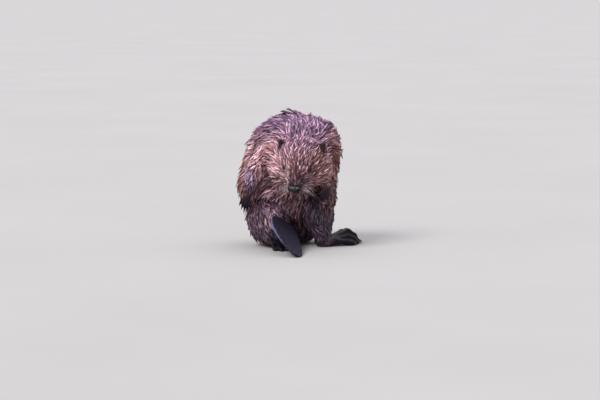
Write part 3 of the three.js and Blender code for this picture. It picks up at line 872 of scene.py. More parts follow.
def coat_colour(points, normals, zones):
    """The marking at each point."""
    share = zone_shares(zones)
    x, _, z = columns(points)
    front = smooth(-normals[:, 1:2], 0.1, 0.8)
    body = body_tone(points, normals)
    belly = front * fade(z, 170, 225) * smooth(x, -120, -60)
    trunk = mix(body, BELLY_DARK, belly * 0.85)
    trunk = mix(trunk, LEG_DARK, fade(z, 30, 130) * 0.75)
    arm = mix(body, MUZZLE_DARK, fade(z, 190, 245) * 0.7)
    # a painted violet highlight along the outer edge of the right forearm
    arm = mix(arm, FOREARM_HIGHLIGHT, fade(x, -112, -96) * smooth(z, 172, 200) * fade(z, 236, 262) * 0.8)
    # a painted highlight on the front of the right knee
    knee = fade(np.hypot(x - KNEE[0], z - KNEE[2]), 12, 30) * front
    thigh = mix(mix(THIGH_MAUVE, LEG_DARK, smooth(x, 0, 60)), KNEE_HIGHLIGHT, knee * 0.8)
    parts = {
        "trunk": trunk, "neck": mix(body, BELLY_DARK, fade(z, 205, 240) * front),
        "head": head_tone(points), "arm": arm, "thigh": thigh, "shank": LEG_DARK,
        "hand": PAW_DARK, "foot": PAW_DARK, "ear": EAR_DARK, "tail": tail_tone(points),
    }
    # painted shade in the creases where the arms and thighs meet the trunk
    crease_shade = 4 * share["trunk"] * (share["arm"] + share["thigh"])
    return sum(share[name] * colour for name, colour in parts.items()) * (1 - 0.55 * crease_shade)


# ---- materials


class Nodes:
    """A material's nodes, made and joined in short steps."""

    def __init__(self, name):
        self.material = bpy.data.materials.new(name)
        self.material.use_nodes = True
        self.tree = self.material.node_tree
        self.shader = self.tree.nodes["Principled BSDF"]

    def add(self, kind, inputs=None, **settings):
        node = self.tree.nodes.new(kind)
        for key, value in settings.items():
            setattr(node, key, value)
        self.fill(node, inputs or {})
        return node

    def fill(self, node, inputs):
        """Gives each input its value, or joins it to the socket given."""
        for key, value in inputs.items():
            if isinstance(value, bpy.types.NodeSocket):
                self.tree.links.new(value, node.inputs[key])
            else:
                node.inputs[key].default_value = value

    def set(self, **values):
        """Sets the shader's inputs; an underscore stands for a space in their names."""
        self.fill(self.shader, {key.replace("_", " "): value for key, value in values.items()})

    def place(self):
        return self.add("ShaderNodeTexCoord").outputs["Object"]

    def noise(self, scale):
        inputs = {"Vector": self.place(), "Scale": scale, "Detail": 3.0, "Roughness": 0.6}
        return self.add("ShaderNodeTexNoise", inputs).outputs["Fac"]

    def ramp(self, value, *stops):
        """stops are (place, colour) pairs; a colour may be one number."""
        node = self.add("ShaderNodeValToRGB", {"Fac": value})
        elements = node.color_ramp.elements
        while len(elements) < len(stops):
            elements.new(0.5)
        for element, (position, colour) in zip(elements, stops):
            element.position = position
            element.color = (*np.broadcast_to(colour, 3), 1)
        return node.outputs["Color"]

    def marked(self, grain, dark, light):
        """The marking stored on the vertices, darker and lighter with the grain."""
        marking = self.add("ShaderNodeAttribute", attribute_name="marking").outputs["Color"]
        grain = self.ramp(grain, (0.3, dark), (0.7, light))
        inputs = {"Factor": 1.0, 6: marking, 7: grain}
        return self.add("ShaderNodeMix", inputs, data_type="RGBA", blend_type="MULTIPLY").outputs[2]

    def bump(self, height, strength, distance):
        inputs = {"Height": height, "Strength": strength, "Distance": distance}
        return self.add("ShaderNodeBump", inputs).outputs["Normal"]


def marked_material(name, scale, bump_depth, **shader):
    """A material for skin, hair or scales, with a fine grain of that scale."""
    nodes = Nodes(name)
    grain = nodes.noise(scale)
    nodes.set(Base_Color=nodes.marked(grain, 0.72, 1.2), Normal=nodes.bump(grain, 0.5, bump_depth), **shader)
    return nodes.material


def plain_material(name, dark, light, scale, roughness):
    nodes = Nodes(name)
    nodes.set(Base_Color=nodes.ramp(nodes.noise(scale), (0.3, dark), (0.7, light)), Roughness=roughness)
    return nodes.material


# ---- skin


def make_skin(material):
    """The skin in one piece, dark where hair covers it. Gives its vertices and quads."""
    vertices, quads = surface_nets(GRID, FIELD)
    value, normal = skin_at(vertices)
    vertices = vertices - normal * np.clip(value, -0.6, 0.6)[:, None] * 0.8
    skin = mesh_object("skin", vertices, [quads], material)
    zones = MAP.read(MAP_ZONES, vertices)
    colours = coat_colour(vertices, normal, zones)
    bare = zones[:, ZONES.index("hand"):].sum(axis=1, keepdims=True)
    under_fur = mix(0.3, 1.0, smooth(bare, 0.4, 0.8))
    mark(skin, colours * under_fur)
    flesh = [name for name in frame["nodes"] if not name.startswith(("eye", "nose"))]
    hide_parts(*flesh)
    return vertices, quads


# ---- tufts

LENGTH_PER_DEPTH = 2.1  # a tuft's length for each millimetre of coat,
LENGTH_LEAST = 5.5  # and on top of that
WIDTH_PER_LENGTH = 0.05
WIDTH_LEAST = 0.5
SPACING = 1.06  # between roots, in tuft widths
FACE_SPACING = 0.55  # the same where the hair is cut shortest, as a share of it
FACE_WIDTH = 0.6  # a tuft's width there, as a share of its full width
LOCK_WIDTHS = 4.4  # how many tufts wide a wet lock is
LOCK_LEAST = 2.0  # and on top of that
EYE_BARE = (4.8, 6.0)  # from the line out of the eye: no hair within the first, all of it past the second
EYE_BARE_SHIFT = 1.2  # how far that line is moved towards the nose


def tuft_length(depth):
    return LENGTH_PER_DEPTH * depth + LENGTH_LEAST


def tuft_width(depth):
    return WIDTH_PER_LENGTH * tuft_length(depth) + WIDTH_LEAST


def lock_size(depth):
    return LOCK_WIDTHS * tuft_width(depth) + LOCK_LEAST


def choose_roots(vertices, quads):
    """Places for tufts, closer together where the coat is short."""
    corners = vertices[quads]
    middle = corners.mean(axis=1)
    area = length(np.cross(corners[:, 2] - corners[:, 0], corners[:, 3] - corners[:, 1])) / 2
    spacing = SPACING * tuft_width(MAP.read(MAP_DEPTH, middle)) * mix(FACE_SPACING, 1.0, shortening(middle))
    share = area / spacing**2 * furred(middle)
    count = np.floor(share + rng.random(len(share))).astype(int)
    chosen = np.repeat(np.arange(len(quads)), count)
    u, v = rng.random((2, len(chosen), 1))
    a, b, c, d = (corners[chosen, i] for i in range(4))
    return mix(mix(a, b, u), mix(d, c, u), v)


def choose_locks(roots, depth):
    """The number of the tuft that leads the lock of each tuft: one leader in each block of a grid."""
    size = np.round(lock_size(depth))
    blocks = np.column_stack([np.floor(roots / size[:, None]), size]).astype(int)
    _, leaders = np.unique(blocks, axis=0, return_index=True)
    tree = KDTree(len(leaders))
    for i, leader in enumerate(leaders):
        tree.insert(roots[leader], i)
    tree.balance()
    return leaders[[tree.find(root)[1] for root in roots]]


NOSTRIL = ((11, 98, 0), (11.5, 110.5, 1.5), (19.5, 102, 4))  # its depth, its opening and its outer end


def nose_group():
    """A broad pad with a wing round each nostril and a groove down the middle."""
    def lump(left, forward, up, *radii):
        return ellipsoid(in_head(left, forward, up), radii, 0, HEAD_TURN)

    cuts = [limb(in_head(0, 113.5, 7), in_head(0, 110, -11), 1.0, 1.5)]
    forms = [lump(0, 102, -1, 15, 11, 10.5), lump(0, 92, -3, 19, 11, 9)]
    for side in (-1, 1):
        forms.append(lump(side * 13.5, 101, 1, 6.5, 8, 8))
        inner, opening, outer = (in_head(side * left, forward, up) for left, forward, up in NOSTRIL)
        cuts += [limb(opening, inner, 3.1, 1.6), limb(opening, outer, 2.6, 1.1)]
    return Group(2.0, forms, cuts)


NOSE_FORMS = nose_group()


def furred(points):
    """How much hair grows at each point: none on scales, hands and feet and round the nose and eyes."""
    share = {name: column[:, 0] for name, column in zone_shares(MAP.read(MAP_ZONES, points)).items()}
    amount = 1 - smooth(share["tail"], 0.45, 0.75) * fade(points[:, 1], -112, -100)
    amount *= 1 - smooth(share["hand"] + share["foot"], 0.4, 0.7)
    amount *= 1 - 0.6 * smooth(share["ear"], 0.4, 0.7)
    amount *= smooth(points[:, 2], 2.0, 4.0)
    near_nose = np.flatnonzero(length(points - NOSE) < 34)
    amount[near_nose] *= smooth(NOSE_FORMS.distance(points[near_nose]), 0.3, 1.6)
    for side in SIDES:
        away = points - EYES[side] - EYE_BARE_SHIFT * unit(NOSE - EYES[side])
        facing = away @ EYE_OUT[side]
        beside = length(away - facing[:, None] * EYE_OUT[side])
        amount *= np.where((facing > -2) & (beside < 12), smooth(beside, *EYE_BARE), 1)
    return amount


def shortening(points):
    """How short the hair is cut round the nose, the eyes and the ears, as a share of its length."""
    share = mix(0.3, 1.0, smooth(length(points - NOSE), 20, 62))
    for side in SIDES:
        share *= mix(0.35, 1.0, smooth(length(points - EYES[side]), 9, 24))
        share *= mix(0.4, 1.0, smooth(length(points - EARS[side]), 15, 30))
    return share


RINGS = (0.0, 0.34, 0.68, 1.0)  # the places along a tuft that have points
RING_WIDTHS = (0.9, 0.95, 0.6)
CREST = 0.7  # how high a tuft's ridge is, as a share of half its width
LOCK_PULL = (0.0, 0.3, 0.72, 0.9)  # how far each ring is drawn to the lock's leader
LOCK_TURN = math.radians(50)  # how far the tufts at the sides of a lock lean over
COWLICK = vec(14, 20, 404)  # a lock that stands up from the top of the back
COWLICK_LIE = vec(-0.15, -0.6, 1.5)
FLOOR_GAP = 0.3
PROUD_SHARE = 0.3  # of the locks stand higher than the rest
FLANK_SHARE = 0.45  # of the locks at the flanks are longer
LIT_SHARE = 0.36  # of the locks are wet and carry a painted highlight
# how much lighter the lit locks are painted, a painted highlight, and how much darker the rest, a painted
# shade
LIT_SHADE = 1.95
UNLIT_SHADE = 0.68
EAR_SHADE = 0.5
POINT_SHADES = (0.25, 0.3, 0.25, 0.72, 0.95, 0.72, 1.05, 1.3, 1.05, 1.35)  # a tuft's points, from root to tip: darker at the root, for the darker underfur and as painted shade deep in the coat
COAT_GAIN = 1.22
COAT_SOFTENING = 0.4  # how much less than that the palest hairs gain


def march(roots, lengths, heights, sway):
    """Each tuft's centre line over the skin: a list of points and of outward directions."""
    _, normal = skin_at(roots)
    lines, normals = [roots - normal * 0.8], [normal]
    point = roots
    for before, after in zip(RINGS, RINGS[1:]):
        direction = MAP.read(MAP_LIE, point) + sway
        direction = unit(direction - (direction * normal).sum(axis=1, keepdims=True) * normal)
        point = point + direction * (lengths * (after - before))[:, None]
        value, normal = skin_at(point)
        point = point + normal * np.clip(heights * after**0.85 - value, -14, 14)[:, None]
        lines.append(point)
        normals.append(normal)
    return lines, normals


def gather(roots, depth, own, lines, normals, tightness):
    """Draws the tufts of each lock together, low at its sides. Gives each tuft's place across its lock."""
    ahead = unit(lines[1] - lines[0])
    side = unit(np.cross(ahead, normals[0]))[own]
    size = lock_size(depth)
    place = np.clip(((roots - roots[own]) * side).sum(axis=1) / (0.5 * size), -1, 1)
    near = fade(length(roots - roots[own]), 1.1 * size, 2.2 * size)
    strength = near * tightness * (0.5 + 0.5 * smooth(depth, 1.5, 5))
    for ring, pull in enumerate(LOCK_PULL):
        shift = (lines[ring][own] - lines[ring]) * (strength * pull)[:, None]
        drop = np.abs(place) ** 1.5 * 0.2 * size * (1 - 0.5 * RINGS[ring]) * (ring > 0)
        lines[ring] = lines[ring] + shift - normals[ring] * drop[:, None]
        if ring:
            value, normal = skin_at(lines[ring])
            lines[ring] = lines[ring] + normal * np.clip(0.5 - value, 0, 6)[:, None]
    return place


def tuft_mesh(lines, normals, widths, lean):
    """Vertices and triangles of ridged, pointed tufts: 3 points across each ring, 1 at the tip."""
    lean = lean[:, None]
    rows = []
    for ring, share in enumerate(RING_WIDTHS):
        ahead = unit(lines[ring + 1] - lines[ring])
        flat = unit(np.cross(ahead, normals[ring]))
        over = np.cross(flat, ahead)
        side = flat * np.cos(lean) - over * np.sin(lean)
        crest = flat * np.sin(lean) + over * np.cos(lean)
        half = (widths * share / 2)[:, None]
        rows += [lines[ring] - side * half, lines[ring] + crest * half * CREST, lines[ring] + side * half]
    rows.append(lines[3])
    vertices = np.stack(rows, axis=1)
    vertices[..., 2] = np.maximum(vertices[..., 2], FLOOR_GAP)
    pattern = []
    for ring in range(2):
        for column in range(2):
            a = ring * 3 + column
            pattern += [(a, a + 1, a + 4), (a, a + 4, a + 3)]
    pattern += [(6, 7, 9), (7, 8, 9)]
    return vertices.reshape(-1, 3), repeated(np.array(pattern), 10, len(widths))


def unwrap(points, centre, axis):
    """Each point's angle round an axis and place along it, both from 0 to 1 over the points."""
    axis = unit(np.asarray(axis, dtype=float))
    aside = unit(np.cross(axis, vec(0.3, 1, 0.2)))
    other = np.cross(axis, aside)
    local = points - centre
    angle = np.arctan2(local @ other, local @ aside)
    plane = np.stack([angle, local @ axis], axis=1)
    low, high = plane.min(axis=0), plane.max(axis=0)
    return (plane - low) / np.maximum(high - low, 1e-6)


PATCH = 0.003  # how wide a tuft's patch of the map is
MARGIN = 0.005


def bake_map(piece, roots, centre, axis):
    """Gives each tuft its own small patch at its root's place on the unwrapped skin."""
    corner = MARGIN + unwrap(roots, centre, axis) * (1 - 2 * MARGIN - PATCH)
    across = np.array([0, 0.5, 1, 0, 0.5, 1, 0, 0.5, 1, 0.5]) * PATCH
    down = np.array([0, 0, 0, 1, 1, 1, 2, 2, 2, 3]) / 3 * PATCH
    patch = corner[:, None, :] + np.stack([across, down], axis=1)[None]
    loops = np.empty(len(piece.data.loops), dtype=np.int32)
    piece.data.loops.foreach_get("vertex_index", loops)
    layer = piece.data.uv_layers.new(name="OFBake")
    layer.data.foreach_set("uv", patch.reshape(-1, 2)[loops].astype(np.float32).ravel())


TRUNK_AXIS = (vec(0, 20, 200), vec(0, 0, 1))
HEAD_AXIS = (in_head(0, 10, -6), HEAD_TURN @ vec(0, -1, 0))
ARM_AXES = {"right": (vec(-96, -74, 234), vec(-0.4, -0.4, -1)), "left": (vec(108, -66, 180), vec(0, 0, -1))}
LEG_AXES = {"right": (vec(-56, -40, 70), vec(0.2, -1, -0.2)), "left": (vec(86, -40, 80), vec(0.2, 0, -1))}


def coat_regions(roots, zones):
    """Name, mask, and unwrapping axis of each piece of the coat."""
    zone = np.argmax(zones, axis=1)
    named = {name: zone == i for i, name in enumerate(ZONES)}
    left = roots[:, 0] > 10
    x, y, _ = (roots - TRUNK_AXIS[0]).T
    sixth = np.floor((np.arctan2(y, x) / math.pi + 1) * 3)
    for i in range(6):
        yield f"coat_trunk_{i + 1}", named["trunk"] & (sixth % 6 == i), TRUNK_AXIS
    yield "coat_neck", named["neck"] | named["ear"], HEAD_AXIS
    head_left = (roots - HEAD_CENTRE) @ HEAD_TURN[:, 0] > 0
    for side, here, face in (("right", ~left, ~head_left), ("left", left, head_left)):
        yield "coat_head_" + side, named["head"] & face, HEAD_AXIS
        yield "coat_arm_" + side, (named["arm"] | named["hand"]) & here, ARM_AXES[side]
        yield "coat_thigh_" + side, (named["thigh"] | named["tail"]) & here, LEG_AXES[side]
        yield "coat_shank_" + side, (named["shank"] | named["foot"]) & here, LEG_AXES[side]


def tuft_shades(place, own):
    """How light each tuft is: by its lock, by itself, and by its place across the lock, with a painted
    highlight on the lock's crest and painted shade at its sides.
    """
    count = len(own)
    lock = np.exp(0.3 * rng.normal(size=count))[own]
    single = np.exp(0.22 * rng.normal(size=count))
    # painted highlight on the crest of the lock, painted shade at its sides
    return lock * single * mix(1.5, 0.2, np.abs(place) ** 0.9)


def grow(roots, depth, own, cut):
    """The centre lines of the tufts, over the skin."""
    count = len(roots)
    cowlick = fade(length(roots - COWLICK), 14, 26)
    lengths = tuft_length(depth) * cut * rng.uniform(0.8, 1.25, count)[own] * rng.uniform(0.7, 1.05, count)
    proud = rng.random(count) < PROUD_SHARE
    lifts = np.where(proud, rng.uniform(0.8, 1.15, count), rng.uniform(0.3, 0.8, count))[own]
    heights = depth * (lifts * rng.uniform(0.7, 1.0, count) + 1.1 * cowlick)
    sway = 0.2 * rng.normal(size=roots.shape)[own] + 0.07 * rng.normal(size=roots.shape)
    sway += cowlick[:, None] * COWLICK_LIE
    outer = np.maximum(fade(roots[:, 0], -116, -84), 0.6 * smooth(roots[:, 0], 110, 140))
    flank = outer * smooth(depth, 6, 9) * (rng.random(count) < FLANK_SHARE)[own]
    return march(roots, lengths * (1 + 0.3 * cowlick + 0.5 * flank), heights * (1 + 0.5 * flank), sway)


def tuft_colours(roots, normal, zones, place, own):
    """The colours of each tuft's body and of its tip, with a painted highlight on the lit locks and painted
    shade on the rest.
    """
    count = len(roots)
    shade = tuft_shades(place, own)[:, None]
    lit = (rng.random(count) < LIT_SHARE)[own][:, None]
    warmth = 0.09 * rng.normal(size=count)[own][:, None] * vec(1, -0.1, -1)
    # painted highlight on the lit locks, painted shade on the others
    shade = shade * np.exp(warmth) * np.where(lit, LIT_SHADE, UNLIT_SHADE)
    colours = coat_colour(roots, normal, zones) * shade
    colours *= mix(1.0, EAR_SHADE, zone_shares(zones)["ear"])
    # the tips of the lit locks take a painted highlight
    pale = HAIR_HIGHLIGHT * colours.mean(axis=1, keepdims=True) * 2.0
    return colours, mix(colours, pale, lit * 0.5)


def coat_slot(name):
    """The slot of a piece of coat, from the zone in its name."""
    if "head" in name:
        return "head_coat"
    return "leg_coat" if "thigh" in name or "shank" in name else "body_coat"


def make_coat(vertices, quads):
    """Tufts all over the skin, in pieces by zone."""
    roots = choose_roots(vertices, quads)
    _, normal = skin_at(roots)
    depth = MAP.read(MAP_DEPTH, roots)
    zones = MAP.read(MAP_ZONES, roots)
    own = choose_locks(roots, depth)
    cut = shortening(roots)
    lines, normals = grow(roots, depth, own, cut)
    place = gather(roots, depth, own, lines, normals, smooth(cut, 0.35, 0.95))
    widths = tuft_width(depth) * mix(FACE_WIDTH, 1.0, cut) * rng.uniform(0.6, 1.2, len(roots))
    lean = place * LOCK_TURN + rng.normal(scale=0.2, size=len(roots))
    colours, tips = tuft_colours(roots, normal, zones, place, own)
    # darker towards the root: the darker underfur, and painted shade deep in the coat
    along = np.array(POINT_SHADES)[None, :, None]
    tint = smooth(along, 0.4, 1.2)
    material = marked_material("coat", 420.0, 0.0004, Roughness=0.36, Specular_IOR_Level=0.3)
    for name, here, axis in coat_regions(roots, zones):
        pick = np.flatnonzero(here)
        own_lines, own_normals = ([each[pick] for each in rows] for rows in (lines, normals))
        points, triangles = tuft_mesh(own_lines, own_normals, widths[pick], lean[pick])
        piece = mesh_object(name, points, [triangles], material)
        marking = mix(colours[pick][:, None, :], tips[pick][:, None, :], tint) * along
        marking *= COAT_GAIN / (1 + COAT_SOFTENING * marking)
        mark(piece, marking.reshape(-1, 3))
        bake_map(piece, roots[pick], *axis)
        coat_slot(name)


# ---- horns and whiskers


def tubes(horns, sides):
    """Closed round horns, each given as its centre line, its radii and its upward direction."""
    lines, radii, ups = (np.array(each) for each in zip(*horns))
    count, rings = radii.shape
    angle = circle(sides)
    ahead = unit(np.gradient(lines, axis=1))
    across = unit(np.cross(ups[:, None, :] + 0 * lines, ahead))
    over = np.cross(ahead, across)
    across, over = across[:, :, None, :], over[:, :, None, :]
    ring = np.cos(angle)[:, None] * across + np.sin(angle)[:, None] * over
    body = lines[:, :, None, :] + ring * radii[:, :, None, None]
    ends = lines[:, [0, -1]] + (ahead[:, [0, -1]] * radii[:, [0, -1], None]) * vec(-0.5, 1.5)[None, :, None]
    vertices = np.concatenate([body.reshape(count, -1, 3), ends], axis=1)
    size = rings * sides + 2
    base = ring_cap(0, sides, size - 2)[:, [1, 0, 2]]
    patterns = (ring_quads(rings, sides), base, ring_cap((rings - 1) * sides, sides, size - 1))
    return vertices.reshape(-1, 3), [repeated(pattern, size, count) for pattern in patterns]


CLAW_BOW = 0.16  # how far a claw bends up from a straight line, as a share of its length


def make_claws(name, paw, material):
    """Bent tapering claws."""
    share = np.linspace(0, 1, 7)[:, None]
    horns = []
    for base, tip, dorsal, radius in paw.claws():
        bow = CLAW_BOW * length(tip - base) * np.sin(math.pi * share)
        horns.append((mix(base, tip, share) + bow * dorsal, radius * (1 - share[:, 0]) ** 0.6 + 0.25, dorsal))
    vertices, faces = tubes(horns, 10)
    vertices[:, 2] = np.maximum(vertices[:, 2], FLOOR_GAP)
    piece = mesh_object(name, vertices, faces, material)


WHISKERS = 17  # on each side, in rows of 4
WHISKER_LENGTH = (24.0, 50.0)
WHISKER_RADIUS = 0.34


def make_whiskers(material):
    horns = []
    share = np.linspace(0, 1, 8)[:, None]
    for side in (-1, 1):
        for i in range(WHISKERS):
            row, column = i % 4, i // 4
            root = in_head(side * (17 + 2.5 * row), 94 - 7 * column, -4 - 5 * row)
            value, normal = skin_at(root[None])
            root = root - normal[0] * (value[0] + 0.6)
            out = unit(normal[0] * 0.75 + HEAD_TURN @ vec(side * 0.9, 0.15, -0.2) + 0.9 * DOWN)
            out = unit(out + 0.26 * rng.normal(size=3))
            long = rng.uniform(*WHISKER_LENGTH)
            droop = DOWN * share**2 * long * 0.34 + HEAD_TURN @ vec(0, 0.24, 0) * share**2 * long
            radii = WHISKER_RADIUS * (1 - 0.8 * share[:, 0])
            horns.append((root + out * share * long + droop, radii, unit(np.cross(out, vec(0.2, 0.3, 1)))))
    vertices, faces = tubes(horns, 5)
    piece = mesh_object("whiskers", vertices, faces, material)


# ---- tail scales

SCALE_LONG = 6.4
SCALE_WIDE = 8.6
SCALE_RISE = 0.9
SCALE_RINGS = ((1.0, -0.5), (0.86, 0.62), (0.5, 0.92))  # how wide and how high each ring is
SCALE_SHADES = (0.5, 1.0, 1.15, 1.2)  # of each ring and of the middle: painted shade at each scale's edge, in the grooves between scales, and a painted highlight towards its middle
SCALE_LEAN = 0.25  # how much the end towards the tip is raised


def make_scales(material):
    """Rows of low six-sided scales on both faces of the tail, each row set half a scale over."""
    angle = np.radians(30 + 60 * np.arange(6))
    outline = np.column_stack([np.sin(angle) * SCALE_LONG * 0.62, np.cos(angle) * SCALE_WIDE * 0.56])
    centres, faces_of = [], []
    rows = int(TAIL_LENGTH / SCALE_LONG)
    for face in (-1, 1):
        for row in range(2, rows):
            along = (row + 0.5) * SCALE_LONG
            half = float(tail_half_width(along / TAIL_LENGTH))
            across = SCALE_WIDE * (np.arange(-9, 10) + 0.5 * (row % 2))
            across = across[np.abs(across) < half - 4.5]
            centres += [(along, spot) for spot in across]
            faces_of += [face] * len(across)
    centres = np.array(centres)
    face = np.array(faces_of)[:, None]
    count = len(centres)
    centres = centres + rng.normal(scale=0.3, size=centres.shape)
    size = rng.uniform(0.92, 1.04, (count, 1))
    points = []
    for reach, rise in (*SCALE_RINGS, (0.0, 1.0)):  # the last is the one point in the middle
        spots = centres[:, None, :] + outline[:6 if reach else 1] * reach * size[:, None]
        share = spots[..., 0] / TAIL_LENGTH
        half = np.maximum(tail_half_width(share), 1)
        lift = tail_half_thickness(share, np.clip(spots[..., 1] / half, -1, 1)) - SCALE_DEPTH
        lean = SCALE_LEAN * (spots[..., 0] - centres[:, None, 0]) / SCALE_LONG
        over = (lift + rise * SCALE_RISE + lean) * face
        place = (spots[..., 0] - TAIL_LENGTH / 2, spots[..., 1] - tail_bend(share), over)
        points.append(TAIL_CENTRE + np.stack(place, axis=-1) @ np.array([TAIL_AXIS, TAIL_ACROSS, TAIL_OVER]))
    vertices = np.concatenate(points, axis=1)
    vertices[..., 2] = np.maximum(vertices[..., 2], FLOOR_GAP)
    sets = []
    for pattern in (ring_quads(3, 6), ring_cap(12, 6, 18)):
        sets.append(repeated(np.where(face[:, :, None] > 0, pattern[:, ::-1], pattern), 19, count))
    piece = mesh_object("tail_scales", vertices.reshape(-1, 3), sets, material)
    # painted shade at the edge of each scale and a painted highlight towards its middle
    shade = rng.uniform(0.75, 1.3, (count, 1, 1)) * np.repeat(SCALE_SHADES, (6, 6, 6, 1))[None, :, None]
    mark(piece, tail_tone(vertices.reshape(-1, 3)) * shade.reshape(-1, 1))


# ---- nose and eyes

NOSE_CELL = 0.8


def make_nose():
    grid = Grid(NOSE_FORMS.low - 3, NOSE_FORMS.high + 3, NOSE_CELL)
    vertices, quads = surface_nets(grid, NOSE_FORMS.distance(grid.points().astype(float)))
    nodes = Nodes("nose")
    grain = nodes.add("ShaderNodeTexVoronoi", {"Vector": nodes.place(), "Scale": 900.0}).outputs["Distance"]
    colour = nodes.ramp(grain, (0.1, NOSE_BLACK * 1.5), (0.7, NOSE_BLACK * 0.5))
    nodes.set(Base_Color=colour, Normal=nodes.bump(grain, 0.6, 0.0004))
    nodes.set(Roughness=0.34, Specular_IOR_Level=0.4, Coat_Weight=0.25, Coat_Roughness=0.2)
    nose = mesh_object("nose", vertices, [quads], nodes.material)
    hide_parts("nose_pad")


def eye_rays(side, turn, polar):
    """Directions at a polar angle from the way out of the head, turned round it from the ear's side to up."""
    out = EYE_OUT[side]
    back, up = HEAD_TURN @ vec(0, 1, 0.1), HEAD_TURN @ vec(0, 0, 1)
    back = unit(back - back @ out * out)
    up = unit(up - up @ out * out)
    up = unit(up - up @ back * back)
    flat = np.cos(turn)[..., None] * back + np.sin(turn)[..., None] * up
    return flat * np.sin(polar)[..., None] + np.cos(polar)[..., None] * out


EYE_RADIUS = 6.0
CORNEA = 0.5  # how far its middle stands out past that
IRIS = (0.42, 0.5, 0.7, 0.85)  # where the iris begins and ends, in radians from the middle
EYE_REACH = math.radians(111.6)  # how far round from its middle the eyeball is made
EYE_RINGS = 14
EYE_SIDES = 32
# Of each ring of the lids, from the opening out: its half width and half height in degrees, and how far
# it stands over the eyeball.
LID_RINGS = ((50, 25, 0.1), (52, 28, 0.8), (58, 36, 1.2), (68, 52, 1.1), (82, 74, 0.8), (98, 98, 0.1))
LID_STEPS = 48


def make_eye(side):
    polar = np.linspace(0, EYE_REACH, EYE_RINGS + 1)[1:, None]
    bulge = (EYE_RADIUS + CORNEA * np.exp(-(polar / 0.5) ** 2))[..., None]
    body = EYES[side] + bulge * eye_rays(side, circle(EYE_SIDES)[None], polar)
    vertices = np.concatenate([[EYES[side] + (EYE_RADIUS + CORNEA) * EYE_OUT[side]], body.reshape(-1, 3)])
    quads = ring_quads(EYE_RINGS, EYE_SIDES)[:, [0, 3, 2, 1]] + 1
    away = np.concatenate([[0], np.repeat(polar, EYE_SIDES)])
    iris = smooth(away, *IRIS[:2]) * fade(away, *IRIS[2:])
    nodes = Nodes("eye_" + side)
    nodes.set(Base_Color=nodes.marked(nodes.noise(1800.0), 0.7, 1.3), Roughness=0.1, Specular_IOR_Level=0.4)
    nodes.set(Coat_Weight=0.4, Coat_Roughness=0.03)
    eye = mesh_object("eyeball_" + side, vertices, [quads, ring_cap(1, EYE_SIDES, 0)], nodes.material)
    mark(eye, mix(EYE_BLACK, IRIS_BROWN, iris[:, None]))
    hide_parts("eye_" + side)


def make_lids(side, material):
    """An almond rim round the eye that runs out into the skin."""
    angle = circle(LID_STEPS)
    corner = 1 + 0.12 * np.abs(np.cos(angle)) ** 5
    rings = []
    for long, high, rise in LID_RINGS:
        polar = np.radians(corner / np.hypot(np.cos(angle) / long, np.sin(angle) / high))
        rings.append(EYES[side] + eye_rays(side, angle, polar) * (EYE_RADIUS + rise))
    vertices = np.concatenate(rings)
    lids = mesh_object("eyelids_" + side, vertices, [ring_quads(len(LID_RINGS), LID_STEPS)], material)
    fur = np.repeat(np.linspace(0, 1, len(LID_RINGS)) ** 2, LID_STEPS)[:, None]
    mark(lids, mix(LID_DARK, MUZZLE_DARK * 0.7, fur))


# ---- stage

FLOOR_REACH = 400.0  # metres, so that its edge stays out of the picture
FLOOR_DARK = (0.53, 0.525, 0.515)
FLOOR_LIGHT = (0.56, 0.555, 0.545)
WORLD_COLOUR = (0.93, 0.93, 0.97, 1)
WORLD_STRENGTH = 0.5


def make_floor():
    mesh = bpy.data.meshes.new("floor")
    corners = [(x * FLOOR_REACH, y * FLOOR_REACH, 0) for x, y in ((-1, -1), (1, -1), (1, 1), (-1, 1))]
    mesh.from_pydata(corners, [], [(0, 1, 2, 3)])
    mesh.materials.append(plain_material("floor", FLOOR_DARK, FLOOR_LIGHT, 0.8, 0.85))
    floor = put("floor", mesh)


def far_light(name, direction, spread, strength, colour):
    """Light from one side of the sky, as even on the floor as on the beaver."""
    data = bpy.data.lights.new(name, "SUN")
    data.angle = math.radians(spread)
    data.energy = strength
    data.color = colour
    put(name, data).rotation_euler = Vector(direction).to_track_quat("Z", "Y").to_euler()


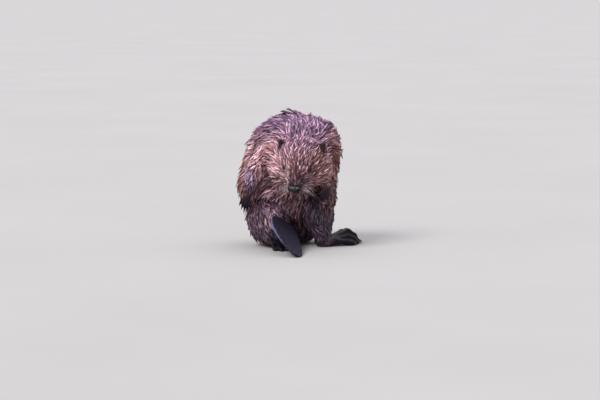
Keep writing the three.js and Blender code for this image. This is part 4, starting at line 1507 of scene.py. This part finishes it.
def make_lights():
    far_light("key", (-0.6, -0.6, 0.85), 25, 2.0, (1.0, 0.97, 0.97))
    far_light("sky", (0.1, 0.35, 1.0), 80, 1.2, (0.95, 0.94, 1.0))
    world = bpy.data.worlds.new("studio")
    world.use_nodes = True
    sky = world.node_tree.nodes["Background"]
    sky.inputs["Color"].default_value = WORLD_COLOUR
    sky.inputs["Strength"].default_value = WORLD_STRENGTH
    bpy.context.scene.world = world
    bpy.context.scene.view_settings.view_transform = "Standard"


CAMERA_AIM = (0.026, -0.104, 0.141)  # in metres of the frame
CAMERA_DISTANCE = 6.0
CAMERA_ELEVATION = math.radians(6)
VIEW_WIDTH = 1.8  # what the image spans at the beaver
SENSOR_WIDTH = 36.0


def make_camera():
    data = bpy.data.cameras.new("camera")
    data.sensor_width = SENSOR_WIDTH
    data.lens = SENSOR_WIDTH * CAMERA_DISTANCE / VIEW_WIDTH
    data.clip_end = 2000
    camera = put("camera", data)
    back = Vector((0, -math.cos(CAMERA_ELEVATION), math.sin(CAMERA_ELEVATION)))
    camera.location = Vector(CAMERA_AIM) + back * CAMERA_DISTANCE
    camera.rotation_euler = (-back).to_track_quat("-Z", "Y").to_euler()
    bpy.context.scene.camera = camera


make_floor()
make_lights()
make_camera()
bare_skin = marked_material(
    "bare_skin", 520.0, 0.0007, Roughness=0.42, Specular_IOR_Level=0.16, Coat_Weight=0.04, Coat_Roughness=0.2
)
skin_vertices, skin_quads = make_skin(bare_skin)
make_coat(skin_vertices, skin_quads)
horn = plain_material("claw_horn", CLAW_HORN * 0.7, CLAW_HORN * 1.25, 300.0, 0.32)
for paw_name, paws in (("hand", HANDS), ("foot", FEET)):
    for side_name, one_paw in paws.items():
        make_claws(f"claws_{paw_name}_{side_name}", one_paw, horn)
make_whiskers(plain_material("whisker", WHISKER_PALE * 0.7, WHISKER_PALE * 1.25, 200.0, 0.3))
make_scales(marked_material("tail_scales", 700.0, 0.0003, Roughness=0.36))
make_nose()
for side_name in SIDES:
    make_eye(side_name)
    make_lids(side_name, bare_skin)
